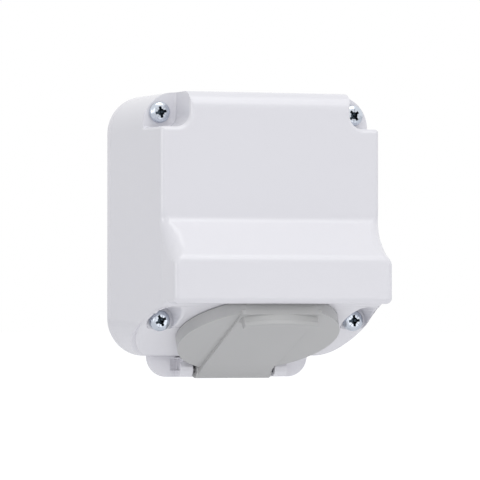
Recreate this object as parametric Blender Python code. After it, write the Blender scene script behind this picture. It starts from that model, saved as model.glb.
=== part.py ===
# Waterproof wall socket: a deep moulded cover on a low back box, with a plug recess under a
# sprung round lid on the slanted underside.
# Lengths are in millimetres and become metres where a mesh is made. X runs to the right, +Y
# runs into the wall and +Z is up. A depth is measured out from the wall, so y = -depth.
import math

import bmesh
import bpy
from mathutils import Matrix, Vector

MM = 0.001

# Fits
gap = 0.3                   # between pieces that touch
running_gap = 0.25          # round the hinge pin

# Back box
base_width = 100.0
base_height = 102.8
corner_radius = 15.0
corner_taper = 0.65         # how much of the side draft the corner radius follows
back_wall = 2.5
rim_depth = 4.3
rim_width = 5.2
groove_inset = 1.0
groove_width = 1.8
groove_depth = 1.4
tongue_inset = 3.2
tongue_wall = 1.7
tongue_height = 5.6

# Front cover
cover_wall = 2.3
panel_depth = 52.3
panel_draft = 4.9           # each side, from the rim to the front panel
hood_draft = 5.2
hood_rise = 20.4            # hood's lower edge above the base's lower edge
hood_band = 17.5
slope_drop = 15.0           # height of the slope between the panel and the hood
top_round = 7.0
upper_kink_round = 4.0
lower_kink_round = 5.0
hood_edge_round = 2.4
side_round = 2.2
slope_flare = 3.0           # extra rounding of the side edges along the slope
lip_wall = 2.4

# Cover screws
screw_margin_side = 9.7
screw_margin_top = 7.9
screw_margin_bottom = 13.9
screw_floor_depth = 34.8
screw_floor_wall = 2.5
screw_radius = 1.75
screw_head_radius = 4.1
screw_head_height = 2.6
screw_reach = 1.4           # tip behind the rim's face
screw_point = 1.6
screw_turns = (12, 40, 25, 5)
cross_reach = 2.55
cross_half = 0.55
cross_depth = 1.7
screw_boss_radius = 4.2
notch_inner = 7.1           # notch wall from the screw's axis, towards the middle
notch_lower = 5.7           # notch wall from the screw's axis, downwards
notch_round = 5.4
notch_flare = 1.4
bore_radius = 6.4

# Slanted lid, its hinge and its seat
slant = 22.5                # lid plane from level, degrees
lid_overlap = 12.55         # lid's edge beyond the plug recess
lid_front_cut = 3.45        # straight front end, in from the round edge
lid_front_gap = 0.6
lid_height = 4.8
lid_skin = 1.6
lid_rim_wall = 1.9
lid_edge_round = 0.9
lid_clearance = 1.0
knuckle_radius = 3.5
knuckle_half = 16.4
knuckle_reach = 0.95        # pin axis beyond the lid's edge
hinge_drop = 5.4            # pin axis below the base's lower edge
pin_height = 3.84           # pin axis out from the lid's back plane
pin_wall_clearance = 0.8
pin_radius = 1.1
pin_head_radius = 1.9
pin_head_room = 1.2
ear_inner = 17.2
ear_outer = 22.5
ear_radius = 2.9
ear_top_gap = 0.6
ear_shoulder = 1.2
ear_slope = 2.6
flank_depth = 1.5           # pocket in the left ear's flank
flank_reach = 1.9           # its reach across the apron
flank_wall = 1.3
flank_low = 5.8
flank_high = 1.2
boss_half = 33.8
boss_drop = 8.4
boss_round = 8.3
band_front_half = 17.9
band_rear_half = 15.7
band_front_height = 1.4
grip_inner_edge = 7.65      # in from the lid's round edge
grip_step_edge = 6.05
grip_half = 16.6
grip_step_height = 4.3
grip_floor_height = 2.7
spring_wire = 0.6
spring_coil_radius = 1.7
spring_turns = 8
spring_turn_steps = 10
spring_pitch = 0.72
spring_leg = 6.8
spring_bay_half = 4.6

# Socket insert
recess_radius = 19.5
recess_depth = 17.5
cup_wall = 2.3
cup_floor = 2.5
cup_chamfer = 0.8
edge_break = 0.4
collar_height = 1.6
collar_wall = 3.1
flange_reach = 9.0          # beyond the recess
flange_clearance = 0.45
flange_thick = 1.6
flange_gasket_thick = 0.7
seat_gap = 0.35             # slanted cover face behind the lid's back plane
seat_pad = 5.2              # cover's thickness round the insert
flange_screw_reach = 6.0
flange_screw_radius = 1.2
flange_screw_head = 2.3
flange_screw_length = 5.4
pin_spacing = 19.0
pin_hole_radius = 2.7
rib_half = 2.4
rib_height = 2.3
rib_top = -1.6
clip_groove_half = 3.6
clip_room = 1.3             # groove behind each side clip
centre_screw_radius = 1.75
centre_screw_head = 3.2
centre_screw_bite = 7.0     # thread in the carrier
sink_height = 1.4           # countersunk heads

# Contacts
carrier_half_x = 20.6
carrier_half_y = 11.0
carrier_round = 3.0
carrier_skin = 1.6          # over the sleeves
carrier_length = 12.5
carrier_bay = 1.5           # room for the earth strap between cup and carrier
sleeve_radius = 3.4
sleeve_wall = 0.9
sleeve_slit = 0.9
terminal_x = 16.2
terminal_half = 2.9
terminal_length = 7.4
clamp_sink = 0.8            # clamp ends inside the carrier's back
wire_low = 3.6              # wire way, from the clamp's end
wire_half = 1.3
terminal_screw_radius = 1.4
terminal_head_radius = 2.3
terminal_head_height = 1.8
strap_thick = 0.8
strap_half = 3.0
strap_clearance = 0.3
earth_tab_y = -7.4

# Cable entry and wall fixings
entry_radius = 10.5
entry_margin = 24.4         # centre below the base's top
grommet_flange = 2.4
fixing_margin_side = 20.0
fixing_margin_bottom = 29.4
fixing_margin_top = 25.4
fixing_half_width = 2.4
fixing_half_length = 4.5
knockout_radius = 10.0
knockout_depth = 20.0       # from the wall, on the cover's top
knockout_groove = 0.8
knockout_width = 1.0

overrun = 10.0              # how far a cutter passes the faces it cuts
round_steps = 40
fillet_steps = 4

# Places worked out from the sizes above
base_top = base_height / 2
base_bottom = -base_height / 2
hood_bottom_z = base_bottom + hood_rise
hood_end_z = hood_bottom_z + hood_band
hood_start_z = hood_end_z + slope_drop
screw_x = base_width / 2 - screw_margin_side
screw_top_z = base_top - screw_margin_top
screw_bottom_z = base_bottom + screw_margin_bottom
screw_places = [
    ("cover_screw_top_left", -screw_x, screw_top_z),
    ("cover_screw_top_right", screw_x, screw_top_z),
    ("cover_screw_bottom_left", -screw_x, screw_bottom_z),
    ("cover_screw_bottom_right", screw_x, screw_bottom_z),
]

lid_radius = recess_radius + lid_overlap
grip_inner_radius = lid_radius - grip_inner_edge
grip_step_radius = lid_radius - grip_step_edge
pin_depth = back_wall + knuckle_radius + pin_wall_clearance
pin_place = Vector((0.0, -pin_depth, base_bottom - hinge_drop))
pin_local_y = -(lid_radius + knuckle_reach)

# On the slanted frame x is the object's X, y runs up the slope to the hood and z runs out of
# the lid, down and forward. Its origin is the middle of the lid's back plane.
slant_turn = Matrix.Rotation(math.pi - math.radians(slant), 4, "X")
lid_centre = pin_place - slant_turn @ Vector((0.0, pin_local_y, pin_height))
slanted = Matrix.Translation(lid_centre) @ slant_turn
lid_normal = slant_turn @ Vector((0.0, 0.0, 1.0))
lid_centre_depth = -lid_centre.y

sin_slant = math.sin(math.radians(slant))
cos_slant = math.cos(math.radians(slant))
band_top = lid_height + band_front_height
lid_front = lid_radius - lid_front_cut
lid_front_depth = lid_centre_depth + cos_slant * lid_front + sin_slant * band_top
lip_inner_depth = lid_front_depth + lid_front_gap
hood_depth = lip_inner_depth + lip_wall

collar_radius = recess_radius + collar_wall
flange_radius = recess_radius + flange_reach
flange_screw_circle = recess_radius + flange_screw_reach
strap_reach = recess_radius - strap_clearance
cup_floor_z = collar_height - recess_depth
cup_back_z = cup_floor_z - cup_floor
centre_screw_top = cup_floor_z - 0.2
cup_radius = recess_radius + cup_wall
carrier_top_z = cup_back_z - carrier_bay
carrier_back_z = carrier_top_z - carrier_length
clamp_low_z = carrier_back_z + clamp_sink
flange_high_z = -gap
flange_low_z = flange_high_z - flange_thick
flange_gasket_z = flange_low_z - gap - flange_gasket_thick
flange_seat_z = flange_gasket_z - gap

entry_z = base_top - entry_margin
fixing_x = base_width / 2 - fixing_margin_side
fixing_z_low = base_bottom + fixing_margin_bottom
fixing_z_high = base_top - fixing_margin_top


def clear_scene():
    for item in list(bpy.data.objects):
        bpy.data.objects.remove(item, do_unlink=True)


def make_material(name, colour, roughness, metallic=0.0):
    material = bpy.data.materials.new(name)
    material.use_nodes = True
    shader = material.node_tree.nodes["Principled BSDF"]
    shader.inputs["Base Color"].default_value = (*colour, 1.0)
    shader.inputs["Roughness"].default_value = roughness
    shader.inputs["Metallic"].default_value = metallic
    return material


def add_object(name, mesh_maker, material=None, frame=None, origin=None):
    """Make an object from a bmesh in millimetres, turned by frame, with its origin at a place."""
    bmesh.ops.remove_doubles(mesh_maker, verts=mesh_maker.verts, dist=0.0005)
    if frame is not None:
        mesh_maker.transform(frame)
    bmesh.ops.recalc_face_normals(mesh_maker, faces=mesh_maker.faces)
    if mesh_maker.calc_volume(signed=True) < 0.0:
        bmesh.ops.reverse_faces(mesh_maker, faces=mesh_maker.faces)
    centre = Vector(origin) if origin is not None else Vector((0.0, 0.0, 0.0))
    mesh_maker.transform(Matrix.Scale(MM, 4) @ Matrix.Translation(-centre))
    mesh = bpy.data.meshes.new(name)
    mesh_maker.to_mesh(mesh)
    mesh_maker.free()
    mesh.shade_smooth()
    mesh.set_sharp_from_angle(angle=math.radians(35))
    result = bpy.data.objects.new(name, mesh)
    result.location = centre * MM
    bpy.context.scene.collection.objects.link(result)
    if material is not None:
        mesh.materials.append(material)
    return result


def add_guide(name, mesh_maker, frame=None):
    guide = add_object(name, mesh_maker, frame=frame)
    hide_guide(guide)
    return guide


def hide_guide(guide):
    guide.hide_render = True
    guide.display_type = "WIRE"


def boolean(target, tool, operation):
    step = target.modifiers.new(operation.lower() + "_" + tool.name, "BOOLEAN")
    step.operation = operation
    step.object = tool
    step.solver = "EXACT"


def cut(target, *tools):
    for tool in tools:
        boolean(target, tool, "DIFFERENCE")


def join(target, *tools):
    for tool in tools:
        boolean(target, tool, "UNION")


def loft(rings, closed_ends=True):
    """A solid through rings that all have the same number of points."""
    maker = bmesh.new()
    rows = [[maker.verts.new(point) for point in ring] for ring in rings]
    count = len(rows[0])
    for lower, upper in zip(rows, rows[1:]):
        for i in range(count):
            j = (i + 1) % count
            maker.faces.new((lower[i], lower[j], upper[j], upper[i]))
    if closed_ends:
        maker.faces.new(rows[0][::-1])
        maker.faces.new(rows[-1])
    else:
        for i in range(count):
            j = (i + 1) % count
            maker.faces.new((rows[-1][i], rows[-1][j], rows[0][j], rows[0][i]))
    return maker


def corner_arc(corner, before, after, radius, steps):
    """Points and outward normals of the fillet between two directions at a corner."""
    turn = before.cross(after)
    normal_in = Vector((-before.y, before.x))
    normal_out = Vector((-after.y, after.x))
    if radius <= 0.0 or abs(turn) < 1e-6:
        return [(corner, (normal_in + normal_out).normalized())]
    side = -1.0 if turn < 0.0 else 1.0
    centre = corner + (normal_in + normal_out) * (side * radius / (1.0 + normal_in.dot(normal_out)))
    start = math.atan2(normal_in.y, normal_in.x)
    sweep = math.atan2(turn, before.dot(after))
    result = []
    for i in range(steps + 1):
        angle = start + sweep * i / steps
        normal = Vector((math.cos(angle), math.sin(angle)))
        result.append((centre - normal * (side * radius), normal))
    return result


def rounded_polygon(corners, radii, steps=fillet_steps):
    """Closed outline with its corners rounded, as plain points."""
    count = len(corners)
    points = []
    for i, corner in enumerate(corners):
        here = Vector(corner)
        before = (here - Vector(corners[i - 1])).normalized()
        after = (Vector(corners[(i + 1) % count]) - here).normalized()
        points += [place for place, _ in corner_arc(here, before, after, radii[i], steps)]
    return points


def box_outline(left, right, low, high, radius, steps=fillet_steps):
    corners = [(left, low), (right, low), (right, high), (left, high)]
    return rounded_polygon(corners, [radius] * 4, steps)


def prism(outline, low, high):
    """An outline in x and y pulled from low to high along z."""
    return loft([[(p[0], p[1], z) for p in outline] for z in (low, high)])


def depth_prism(outline, near, far):
    """An outline in x and z pulled out from the wall, from one depth to another."""
    return loft([[(p[0], -depth, p[1]) for p in outline] for depth in (near, far)])


def frame_prism(outer, inner, near, far):
    """A ring between two outlines with the same number of points, from one depth to another."""
    corners = [(outer, near), (outer, far), (inner, far), (inner, near)]
    return loft([[(p[0], -depth, p[1]) for p in line] for line, depth in corners], False)


def side_prism(outline, left, right):
    """An outline in depth and z pulled along x."""
    return loft([[(x, -p[0], p[1]) for p in outline] for x in (left, right)])


def circle(radius, centre=(0.0, 0.0), steps=round_steps):
    turn = 2 * math.pi / steps
    return [
        (centre[0] + radius * math.cos(turn * i), centre[1] + radius * math.sin(turn * i))
        for i in range(steps)
    ]


def turned(profile, steps=round_steps):
    """A closed profile of radius and height turned round z."""
    maker = bmesh.new()
    verts = [maker.verts.new((radius, 0.0, height)) for radius, height in profile]
    edges = [maker.edges.new(pair) for pair in zip(verts, verts[1:])]
    if profile[0][0] > 0.0 or profile[-1][0] > 0.0:
        edges.append(maker.edges.new((verts[-1], verts[0])))
    bmesh.ops.spin(
        maker, geom=verts + edges, axis=(0, 0, 1), cent=(0, 0, 0),
        angle=2 * math.pi, steps=steps, use_merge=True,
    )
    bmesh.ops.remove_doubles(maker, verts=maker.verts, dist=0.0005)
    poles = [vert for vert in maker.verts if vert.co.xy.length < 1e-6]
    bmesh.ops.dissolve_verts(maker, verts=poles)
    return maker


def block(low, high):
    maker = bmesh.new()
    bmesh.ops.create_cube(maker, size=1.0)
    size = Vector(high) - Vector(low)
    middle = (Vector(high) + Vector(low)) / 2
    maker.transform(Matrix.Translation(middle) @ Matrix.Diagonal((*size, 1.0)))
    return maker


def rod(radius, low, high, centre=(0.0, 0.0), steps=round_steps):
    return prism(circle(radius, centre, steps), low, high)


def tube(points, radius, sides=6):
    """A round wire along points, with flat ends."""
    places = [Vector(point) for point in points]
    rings = []
    side = Vector((1.0, 0.0, 0.0))
    for i, place in enumerate(places):
        along = (places[min(i + 1, len(places) - 1)] - places[max(i - 1, 0)]).normalized()
        side = (side - along * side.dot(along)).normalized()
        up = along.cross(side)
        turn = 2 * math.pi / sides
        rings.append([
            place + side * (radius * math.cos(turn * k)) + up * (radius * math.sin(turn * k))
            for k in range(sides)
        ])
    return loft(rings)


# Housing outline

def half_width(depth):
    """Half the cover's width at a depth: straight rim, drafted sides, nearly straight hood."""
    stations = [
        (rim_depth, base_width / 2),
        (panel_depth, base_width / 2 - panel_draft),
        (hood_depth, base_width / 2 - hood_draft),
    ]
    if depth <= stations[0][0]:
        return stations[0][1]
    for (near, wide), (far, narrow) in zip(stations, stations[1:]):
        if depth <= far:
            return wide + (narrow - wide) * (depth - near) / (far - near)
    return stations[-1][1]


def outline_radius(depth):
    return corner_radius - corner_taper * (base_width / 2 - half_width(depth))


def base_outline(inset, steps=6, depth=0.0):
    half = half_width(depth) - inset
    radius = outline_radius(depth) - inset
    return box_outline(-half, half, base_bottom + inset, base_top - inset, radius, steps)


def plan_form(depths, inset, steps=6):
    """The housing's rounded rectangle, drafted from depth to depth."""
    rings = []
    for depth in depths:
        rings.append([(p[0], -depth, p[1]) for p in base_outline(inset, steps, depth)])
    return loft(rings)


def edge_half(depth, z, inset):
    """Half width at a depth and height, following the lower corners, and the corner's slope."""
    half = half_width(depth) - inset
    radius = outline_radius(depth) - inset
    corner_z = base_bottom + inset + radius
    if z >= corner_z:
        return half, 1.0
    drop = min(1.0, (corner_z - z) / radius)
    slope = math.sqrt(1.0 - drop * drop)
    return half - radius + radius * slope, slope


def front_corners(inset):
    """Side view of the cover's front: depth and height of each corner, with its rounding."""
    seat_back = -(seat_gap + inset)
    base = lid_centre + lid_normal * seat_back
    along = Vector((cos_slant, sin_slant))

    def on_slant(z):
        return (-base.y + (z - base.z) * along.x / along.y, z)

    lip_z = hood_bottom_z + inset
    run_out_z = base_bottom - 2.5
    slope = math.atan2(slope_drop, hood_depth - panel_depth)
    kink_shift = inset * math.tan((math.pi / 2 - slope) / 2)
    lip_depth = on_slant(lip_z)[0]
    top = base_top - inset + 0.05
    back = -6.0
    return [
        ((back, top), 0.0),
        ((panel_depth - inset, top), max(top_round - inset, 0.5)),
        ((panel_depth - inset, hood_start_z - kink_shift), upper_kink_round + inset),
        ((hood_depth - inset, hood_end_z - kink_shift), max(lower_kink_round - inset, 0.5)),
        ((hood_depth - inset, lip_z), max(hood_edge_round - inset, 0.3)),
        ((lip_depth, lip_z), 0.6),
        (on_slant(run_out_z), 0.0),
        ((back, run_out_z), 0.0),
    ]


def front_chain(inset, steps, slant_pieces):
    """Rounded side view with outward normals, with extra points along the slanted face."""
    corners = front_corners(inset)
    places = [Vector(place) for place, _ in corners]
    chain = [(places[0], Vector((0.0, 1.0)))]
    for i in range(1, len(places) - 1):
        before = (places[i] - places[i - 1]).normalized()
        after = (places[i + 1] - places[i]).normalized()
        chain += corner_arc(places[i], before, after, corners[i][1], steps)
    chain.append((places[-1], Vector((0.0, -1.0))))
    dense = [chain[0]]
    for (start, normal_start), (end, normal_end) in zip(chain, chain[1:]):
        length = (end - start).length
        slanted_run = normal_end.y < -0.5 and end.x > 0.0 and length > 10.0
        pieces = slant_pieces if slanted_run else 1
        for k in range(1, pieces + 1):
            normal = normal_end if k == pieces else normal_start.lerp(normal_end, k / pieces)
            dense.append((start.lerp(end, k / pieces), normal))
    return dense


def front_form(inset, edge_round, flare, steps, corner_steps, slant_pieces):
    """The cover's front as one wide solid whose side edges are rounded off."""
    chain = front_chain(inset, corner_steps, slant_pieces)
    spread = base_width
    overshoot = 0.15
    rings = []
    for k in range(steps + 1):
        angle = math.pi / 2 * (1.0 - k / steps)
        ring = []
        for place, normal in chain:
            _, slope = edge_half(place.x, place.y, inset)
            radius = (edge_round + flare * max(0.0, normal.y if place.y < panel_depth * 0.5 else 0.0))
            radius = max(radius * slope, 0.35)
            drop = radius * (1.0 - math.cos(angle))
            inner = place - normal * drop
            half, _ = edge_half(inner.x, place.y, inset)
            ring.append((half + overshoot - radius * (1.0 - math.sin(angle)), -inner.x, inner.y))
        rings.append(ring)
    left = [[(-x, y, z) for x, y, z in ring] for ring in rings]
    outer_left = [(-spread, y, z) for _, y, z in left[0]]
    outer_right = [(spread, y, z) for _, y, z in rings[0]]
    return loft([outer_left] + left + rings[::-1] + [outer_right])


def notch_outline(side, spread, grow):
    """Corner notch seen from the front, open to its side and to the top."""
    inner = screw_x - notch_inner - grow
    lower = screw_top_z - notch_lower - grow
    corners = [(spread, spread), (inner, spread), (inner, lower), (spread, lower)]
    points = rounded_polygon(corners, [0.0, 0.0, notch_round + grow, 0.0], 6)
    return [(side * x, z) for x, z in points]


def notch_form(side, near, flared, grow=0.0):
    spread = base_width
    rings = [[(x, -near, z) for x, z in notch_outline(side, spread, grow)]]
    if flared:
        for k in range(fillet_steps + 1):
            angle = math.pi / 2 * k / fillet_steps
            depth = panel_depth - notch_flare + notch_flare * math.sin(angle)
            wider = notch_flare * (1.0 - math.cos(angle))
            rings.append([(x, -depth, z) for x, z in notch_outline(side, spread, grow + wider)])
    far = hood_depth + overrun
    last = notch_outline(side, spread, grow + (notch_flare if flared else 0.0))
    rings.append([(x, -far, z) for x, z in last])
    return loft(rings)


def cover_cavity():
    """The space inside the cover, less the material left round notches, bores and the seat."""
    depths = (-overrun, rim_depth, panel_depth, hood_depth, hood_depth + overrun)
    cavity = add_guide("cavity_guide", plan_form(depths, cover_wall, 4))
    side_view = [place for place, _ in front_chain(cover_wall, 2, 1)]
    rings = [[(x, -p.x, p.y) for p in side_view] for x in (-base_width, base_width)]
    boolean(cavity, add_guide("cavity_front_guide", loft(rings)), "INTERSECT")
    keep_from = screw_floor_depth - screw_floor_wall
    boss_start = rim_depth + tongue_height + gap
    far = hood_depth + overrun
    for name, x, z in screw_places:
        side = math.copysign(1.0, x)
        boss = depth_prism(circle(screw_boss_radius, (x, z), 20), boss_start, far)
        cut(cavity, add_guide("boss_keep_" + name, boss))
        if z > 0.0:
            keep = notch_form(side, keep_from, False, cover_wall)
        else:
            keep = depth_prism(circle(bore_radius + cover_wall, (x, z), 28), keep_from, far)
        cut(cavity, add_guide("keep_" + name, keep))
    seat = rod(lid_radius + lid_clearance + cover_wall, -seat_pad - seat_gap, overrun)
    seat_guide = add_guide("seat_keep", seat, slanted)
    ahead = block((-base_width, -base_width, -base_height), (base_width, -boss_start, base_height))
    boolean(seat_guide, add_guide("seat_keep_limit", ahead), "INTERSECT")
    cut(cavity, seat_guide)
    return cavity


def lid_pocket():
    """Round pocket for the lid's front end, closed at the front by the hood's lip."""
    pocket = add_guide("lid_pocket_guide", rod(lid_radius + lid_clearance, -seat_gap, 2 * overrun), slanted)
    low = (-base_width, -lip_inner_depth, -base_height)
    high = (base_width, base_width, base_height)
    boolean(pocket, add_guide("lip_guide", block(low, high)), "INTERSECT")
    return pocket


def build_front_cover(material):
    depths = (rim_depth + gap, panel_depth, hood_depth, hood_depth + overrun)
    cover = add_object("front_cover", plan_form(depths, 0.0), material)
    front = add_guide("cover_front_guide", front_form(0.0, side_round, slope_flare, 4, 4, 12))
    boolean(cover, front, "INTERSECT")
    far = hood_depth + overrun
    for name, x, z in screw_places:
        side = math.copysign(1.0, x)
        if z > 0.0:
            space = notch_form(side, screw_floor_depth, True)
        else:
            space = depth_prism(circle(bore_radius, (x, z), 28), screw_floor_depth, far)
        cut(cover, add_guide("space_" + name, space))
    cut(cover, cover_cavity(), lid_pocket())
    for name, x, z in screw_places:
        hole = depth_prism(circle(screw_radius + gap, (x, z), 16), rim_depth, far)
        cut(cover, add_guide("hole_" + name, hole))
    seat = rod(flange_radius + flange_clearance, flange_seat_z, overrun)
    opening = rod(cup_radius + flange_clearance, -seat_pad - overrun, overrun)
    cut(cover, add_guide("flange_recess", seat, slanted), add_guide("cup_opening", opening, slanted))
    for i, (x, y) in enumerate(flange_screw_points()):
        reach = flange_high_z - flange_screw_length - 2 * gap
        hole = rod(flange_screw_radius + gap, reach, overrun, (x, y), 8)
        cut(cover, add_guide("flange_hole_%d" % i, hole, slanted))
    rim = knockout_radius + knockout_width
    groove = turned([(knockout_radius, 0.0), (rim, 0.0), (rim, overrun), (knockout_radius, overrun)], 32)
    place = Matrix.Translation((0.0, -knockout_depth, base_top - knockout_groove))
    cut(cover, add_guide("knockout_guide", groove, place))
    return cover


def build_cover_screws(material):
    screws = []
    low = rim_depth - screw_reach
    seat = screw_floor_depth + gap
    top = seat + screw_head_height
    profile = [(0.0, low), (screw_radius * 0.6, low), (screw_radius, low + screw_point)]
    profile += [(screw_radius, seat), (screw_head_radius - gap, seat), (screw_head_radius, seat + gap)]
    dome_start = seat + screw_head_height * 0.42
    for k in range(4):
        angle = math.pi / 2 * k / 3
        radius = screw_head_radius * (0.55 + 0.45 * math.cos(angle))
        profile.append((radius, dome_start + (top - dome_start) * math.sin(angle)))
    profile.append((0.0, top))
    for (name, x, z), degrees in zip(screw_places, screw_turns):
        turn = Matrix.Rotation(math.radians(degrees), 4, "Z")
        frame = Matrix.Translation((x, 0.0, z)) @ Matrix.Rotation(math.pi / 2, 4, "X") @ turn
        screw = add_object(name, turned(profile, 18), material, frame)
        cut_cross(screw, name, cross_reach, cross_half, top - cross_depth, top + overrun, frame)
        screws.append(screw)
    return screws


def build_back_box(material):
    box = add_object("back_box", depth_prism(base_outline(0.0), 0.0, rim_depth), material)
    boss_low = base_bottom - boss_drop
    boss_high = base_bottom + rim_width * 0.5
    corners = [(-boss_half, boss_low), (boss_half, boss_low)]
    corners += [(boss_half, boss_high), (-boss_half, boss_high)]
    boss = rounded_polygon(corners, [boss_round, boss_round, 0.0, 0.0], 8)
    join(box, add_guide("boss_guide", depth_prism(boss, 0.0, back_wall)))
    tray = add_guide("tray_space", depth_prism(base_outline(rim_width), back_wall, overrun))
    cut(box, tray)
    tongue_top = rim_depth + tongue_height
    tongue_inner = base_outline(tongue_inset + tongue_wall)
    tongue = frame_prism(base_outline(tongue_inset), tongue_inner, back_wall * 0.5, tongue_top)
    join(box, add_guide("tongue_guide", tongue))
    post_limit = base_outline(tongue_inset + tongue_wall * 0.5)
    for name, x, z in screw_places:
        post = depth_prism(circle(screw_boss_radius, (x, z), 20), back_wall * 0.5, tongue_top - gap)
        post_guide = add_guide("post_" + name, post)
        limit = add_guide("post_limit_" + name, depth_prism(post_limit, 0.0, tongue_top + overrun))
        boolean(post_guide, limit, "INTERSECT")
        join(box, post_guide)
        pilot = circle(screw_radius + gap, (x, z), 16)
        hole = depth_prism(pilot, rim_depth - screw_reach - 2 * gap, tongue_top + overrun)
        cut(box, add_guide("pilot_" + name, hole))
    build_ears(box)
    cut_fixings(box)
    groove_inner = base_outline(groove_inset + groove_width)
    groove_floor = rim_depth - groove_depth
    groove = frame_prism(base_outline(groove_inset), groove_inner, groove_floor, overrun)
    cut(box, add_guide("groove_guide", groove))
    return box


def build_ears(box):
    """Two ears on the apron hold the hinge pin; the left one has a pocket in its flank."""
    ear_top = base_bottom - ear_top_gap
    nose = pin_depth + ear_radius
    corners = [
        (back_wall * 0.5, ear_top),
        (back_wall * 0.5, pin_place.z - ear_radius),
        (nose, pin_place.z - ear_radius),
        (nose, pin_place.z + ear_shoulder),
        (nose - ear_slope, ear_top),
    ]
    outline = rounded_polygon(corners, [0.0, 0.0, ear_radius, ear_shoulder, ear_shoulder * 0.6], 6)
    for word, side in (("left", -1.0), ("right", 1.0)):
        low, high = sorted((side * ear_inner, side * ear_outer))
        join(box, add_guide("ear_guide_" + word, side_prism(outline, low, high)))
    across = Matrix.Translation(pin_place) @ Matrix.Rotation(math.pi / 2, 4, "Y")
    far = ear_outer + overrun
    cut(box, add_guide("pin_hole", rod(pin_radius + gap, -far, far, steps=20), across))
    head_room = rod(pin_head_radius + gap, -far, -ear_outer + pin_head_room, steps=20)
    cut(box, add_guide("pin_head_room", head_room, across))
    pocket = block(
        (-ear_outer - flank_reach, -(nose - flank_wall), base_bottom - flank_low),
        (-ear_outer + flank_depth, -(back_wall * 0.5), base_bottom - flank_high))
    cut(box, add_guide("flank_pocket", pocket))


def cut_fixings(box):
    for i, z in enumerate((fixing_z_low, fixing_z_high)):
        for j, side in enumerate((-1.0, 1.0)):
            long_x = i == 0
            across = fixing_half_length if long_x else fixing_half_width
            up = fixing_half_width if long_x else fixing_half_length
            x = side * fixing_x
            slot = box_outline(x - across, x + across, z - up, z + up, fixing_half_width * 0.98)
            cut(box, add_guide("fixing_%d_%d" % (i, j), depth_prism(slot, -overrun, overrun)))
    entry = depth_prism(circle(entry_radius, (0.0, entry_z)), -overrun, overrun)
    cut(box, add_guide("entry_hole", entry))


def build_cover_gasket(material):
    inset = groove_inset + gap
    width = groove_width - 2 * gap
    low = rim_depth - groove_depth + gap
    ring = frame_prism(base_outline(inset), base_outline(inset + width), low, rim_depth)
    return add_object("cover_gasket", ring, material)


def build_grommet(material):
    """Rubber grommet with a thin cone to be cut for the cable, snapped round the entry hole."""
    body = entry_radius - gap
    lip = body + grommet_flange
    high = back_wall + gap
    profile = [
        (0.0, high + 1.1), (1.8, high + 1.1), (2.8, 2.1), (body - 3.2, 2.1), (body - 2.6, 0.2),
        (body - 1.5, 0.2), (body, 0.9), (body, high), (lip, high), (lip - 0.5, high + 1.4),
        (body - 1.6, high + 1.6), (body - 2.6, high + 0.2), (3.6, high + 0.2), (2.6, high + 2.0),
        (0.0, high + 2.0),
    ]
    frame = Matrix.Translation((0.0, 0.0, entry_z)) @ Matrix.Rotation(math.pi / 2, 4, "X")
    return add_object("cable_grommet", turned(profile, 24), material, frame)


def flange_screw_points():
    points = []
    for k in range(4):
        angle = math.radians(45 + 90 * k)
        points.append((flange_screw_circle * math.cos(angle), flange_screw_circle * math.sin(angle)))
    return points


def build_socket_cup(material):
    """Moulded insert: flange, collar and cup in one piece, with pin holes and clip grooves."""
    profile = [
        (0.0, cup_back_z), (cup_radius - cup_chamfer, cup_back_z), (cup_radius, cup_back_z + cup_chamfer),
        (cup_radius, flange_low_z), (flange_radius, flange_low_z),
        (flange_radius, flange_high_z - edge_break), (flange_radius - edge_break, flange_high_z),
        (collar_radius, flange_high_z), (collar_radius, collar_height - edge_break),
        (collar_radius - edge_break, collar_height), (recess_radius + cup_chamfer, collar_height),
        (recess_radius, collar_height - cup_chamfer), (recess_radius, cup_floor_z), (0.0, cup_floor_z),
    ]
    cup = add_object("socket_cup", turned(profile, 40), material, slanted)
    for side in (-1.0, 1.0):
        low, high = sorted((side * (recess_radius - rib_height), side * (recess_radius + 1.0)))
        rib = block((low, -rib_half, cup_floor_z - 1.0), (high, rib_half, rib_top))
        join(cup, add_guide("rib_%s" % ("left" if side < 0 else "right"), rib, slanted))
        hole = rod(pin_hole_radius, cup_back_z - 1, cup_floor_z + 1, (side * pin_spacing / 2, 0.0), 20)
        cut(cup, add_guide("plug_hole_%s" % ("left" if side < 0 else "right"), hole, slanted))
        near, far = sorted((side * (recess_radius - 2.0), side * (strap_reach + clip_room)))
        groove = block((-clip_groove_half, near, cup_back_z - 1), (clip_groove_half, far, overrun))
        cut(cup, add_guide("clip_groove_%s" % ("low" if side < 0 else "high"), groove, slanted))
    seat = sunk_seat(centre_screw_radius, centre_screw_head, centre_screw_top, cup_back_z - 1, 24)
    cut(cup, add_guide("centre_seat", seat, slanted))
    for i, (x, y) in enumerate(flange_screw_points()):
        sink = sunk_seat(flange_screw_radius, flange_screw_head, flange_high_z, flange_low_z - 1, 16)
        place = slanted @ Matrix.Translation((x, y, 0.0)) @ Matrix.Rotation(math.pi / 16, 4, "Z")
        cut(cup, add_guide("flange_sink_%d" % i, sink, place))
    return cup


def build_flange_gasket(material):
    low = flange_gasket_z
    high = low + flange_gasket_thick
    inner = cup_radius + 0.8
    profile = [(inner, low), (flange_radius, low), (flange_radius, high), (inner, high)]
    gasket = add_object("flange_gasket", turned(profile, 28), material, slanted)
    for i, point in enumerate(flange_screw_points()):
        hole = rod(flange_screw_radius + gap, low - 1, high + 1, point, 8)
        cut(gasket, add_guide("gasket_hole_%d" % i, hole, slanted))
    return gasket


def countersunk(radius, head_radius, head_top, length, steps):
    """Countersunk screw with its head's flat at head_top, pointing down z."""
    low = head_top - length
    profile = [
        (0.0, low), (radius * 0.55, low), (radius, low + 1.0), (radius, head_top - sink_height),
        (head_radius, head_top - 0.2), (head_radius, head_top), (0.0, head_top),
    ]
    return turned(profile, steps)


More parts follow.
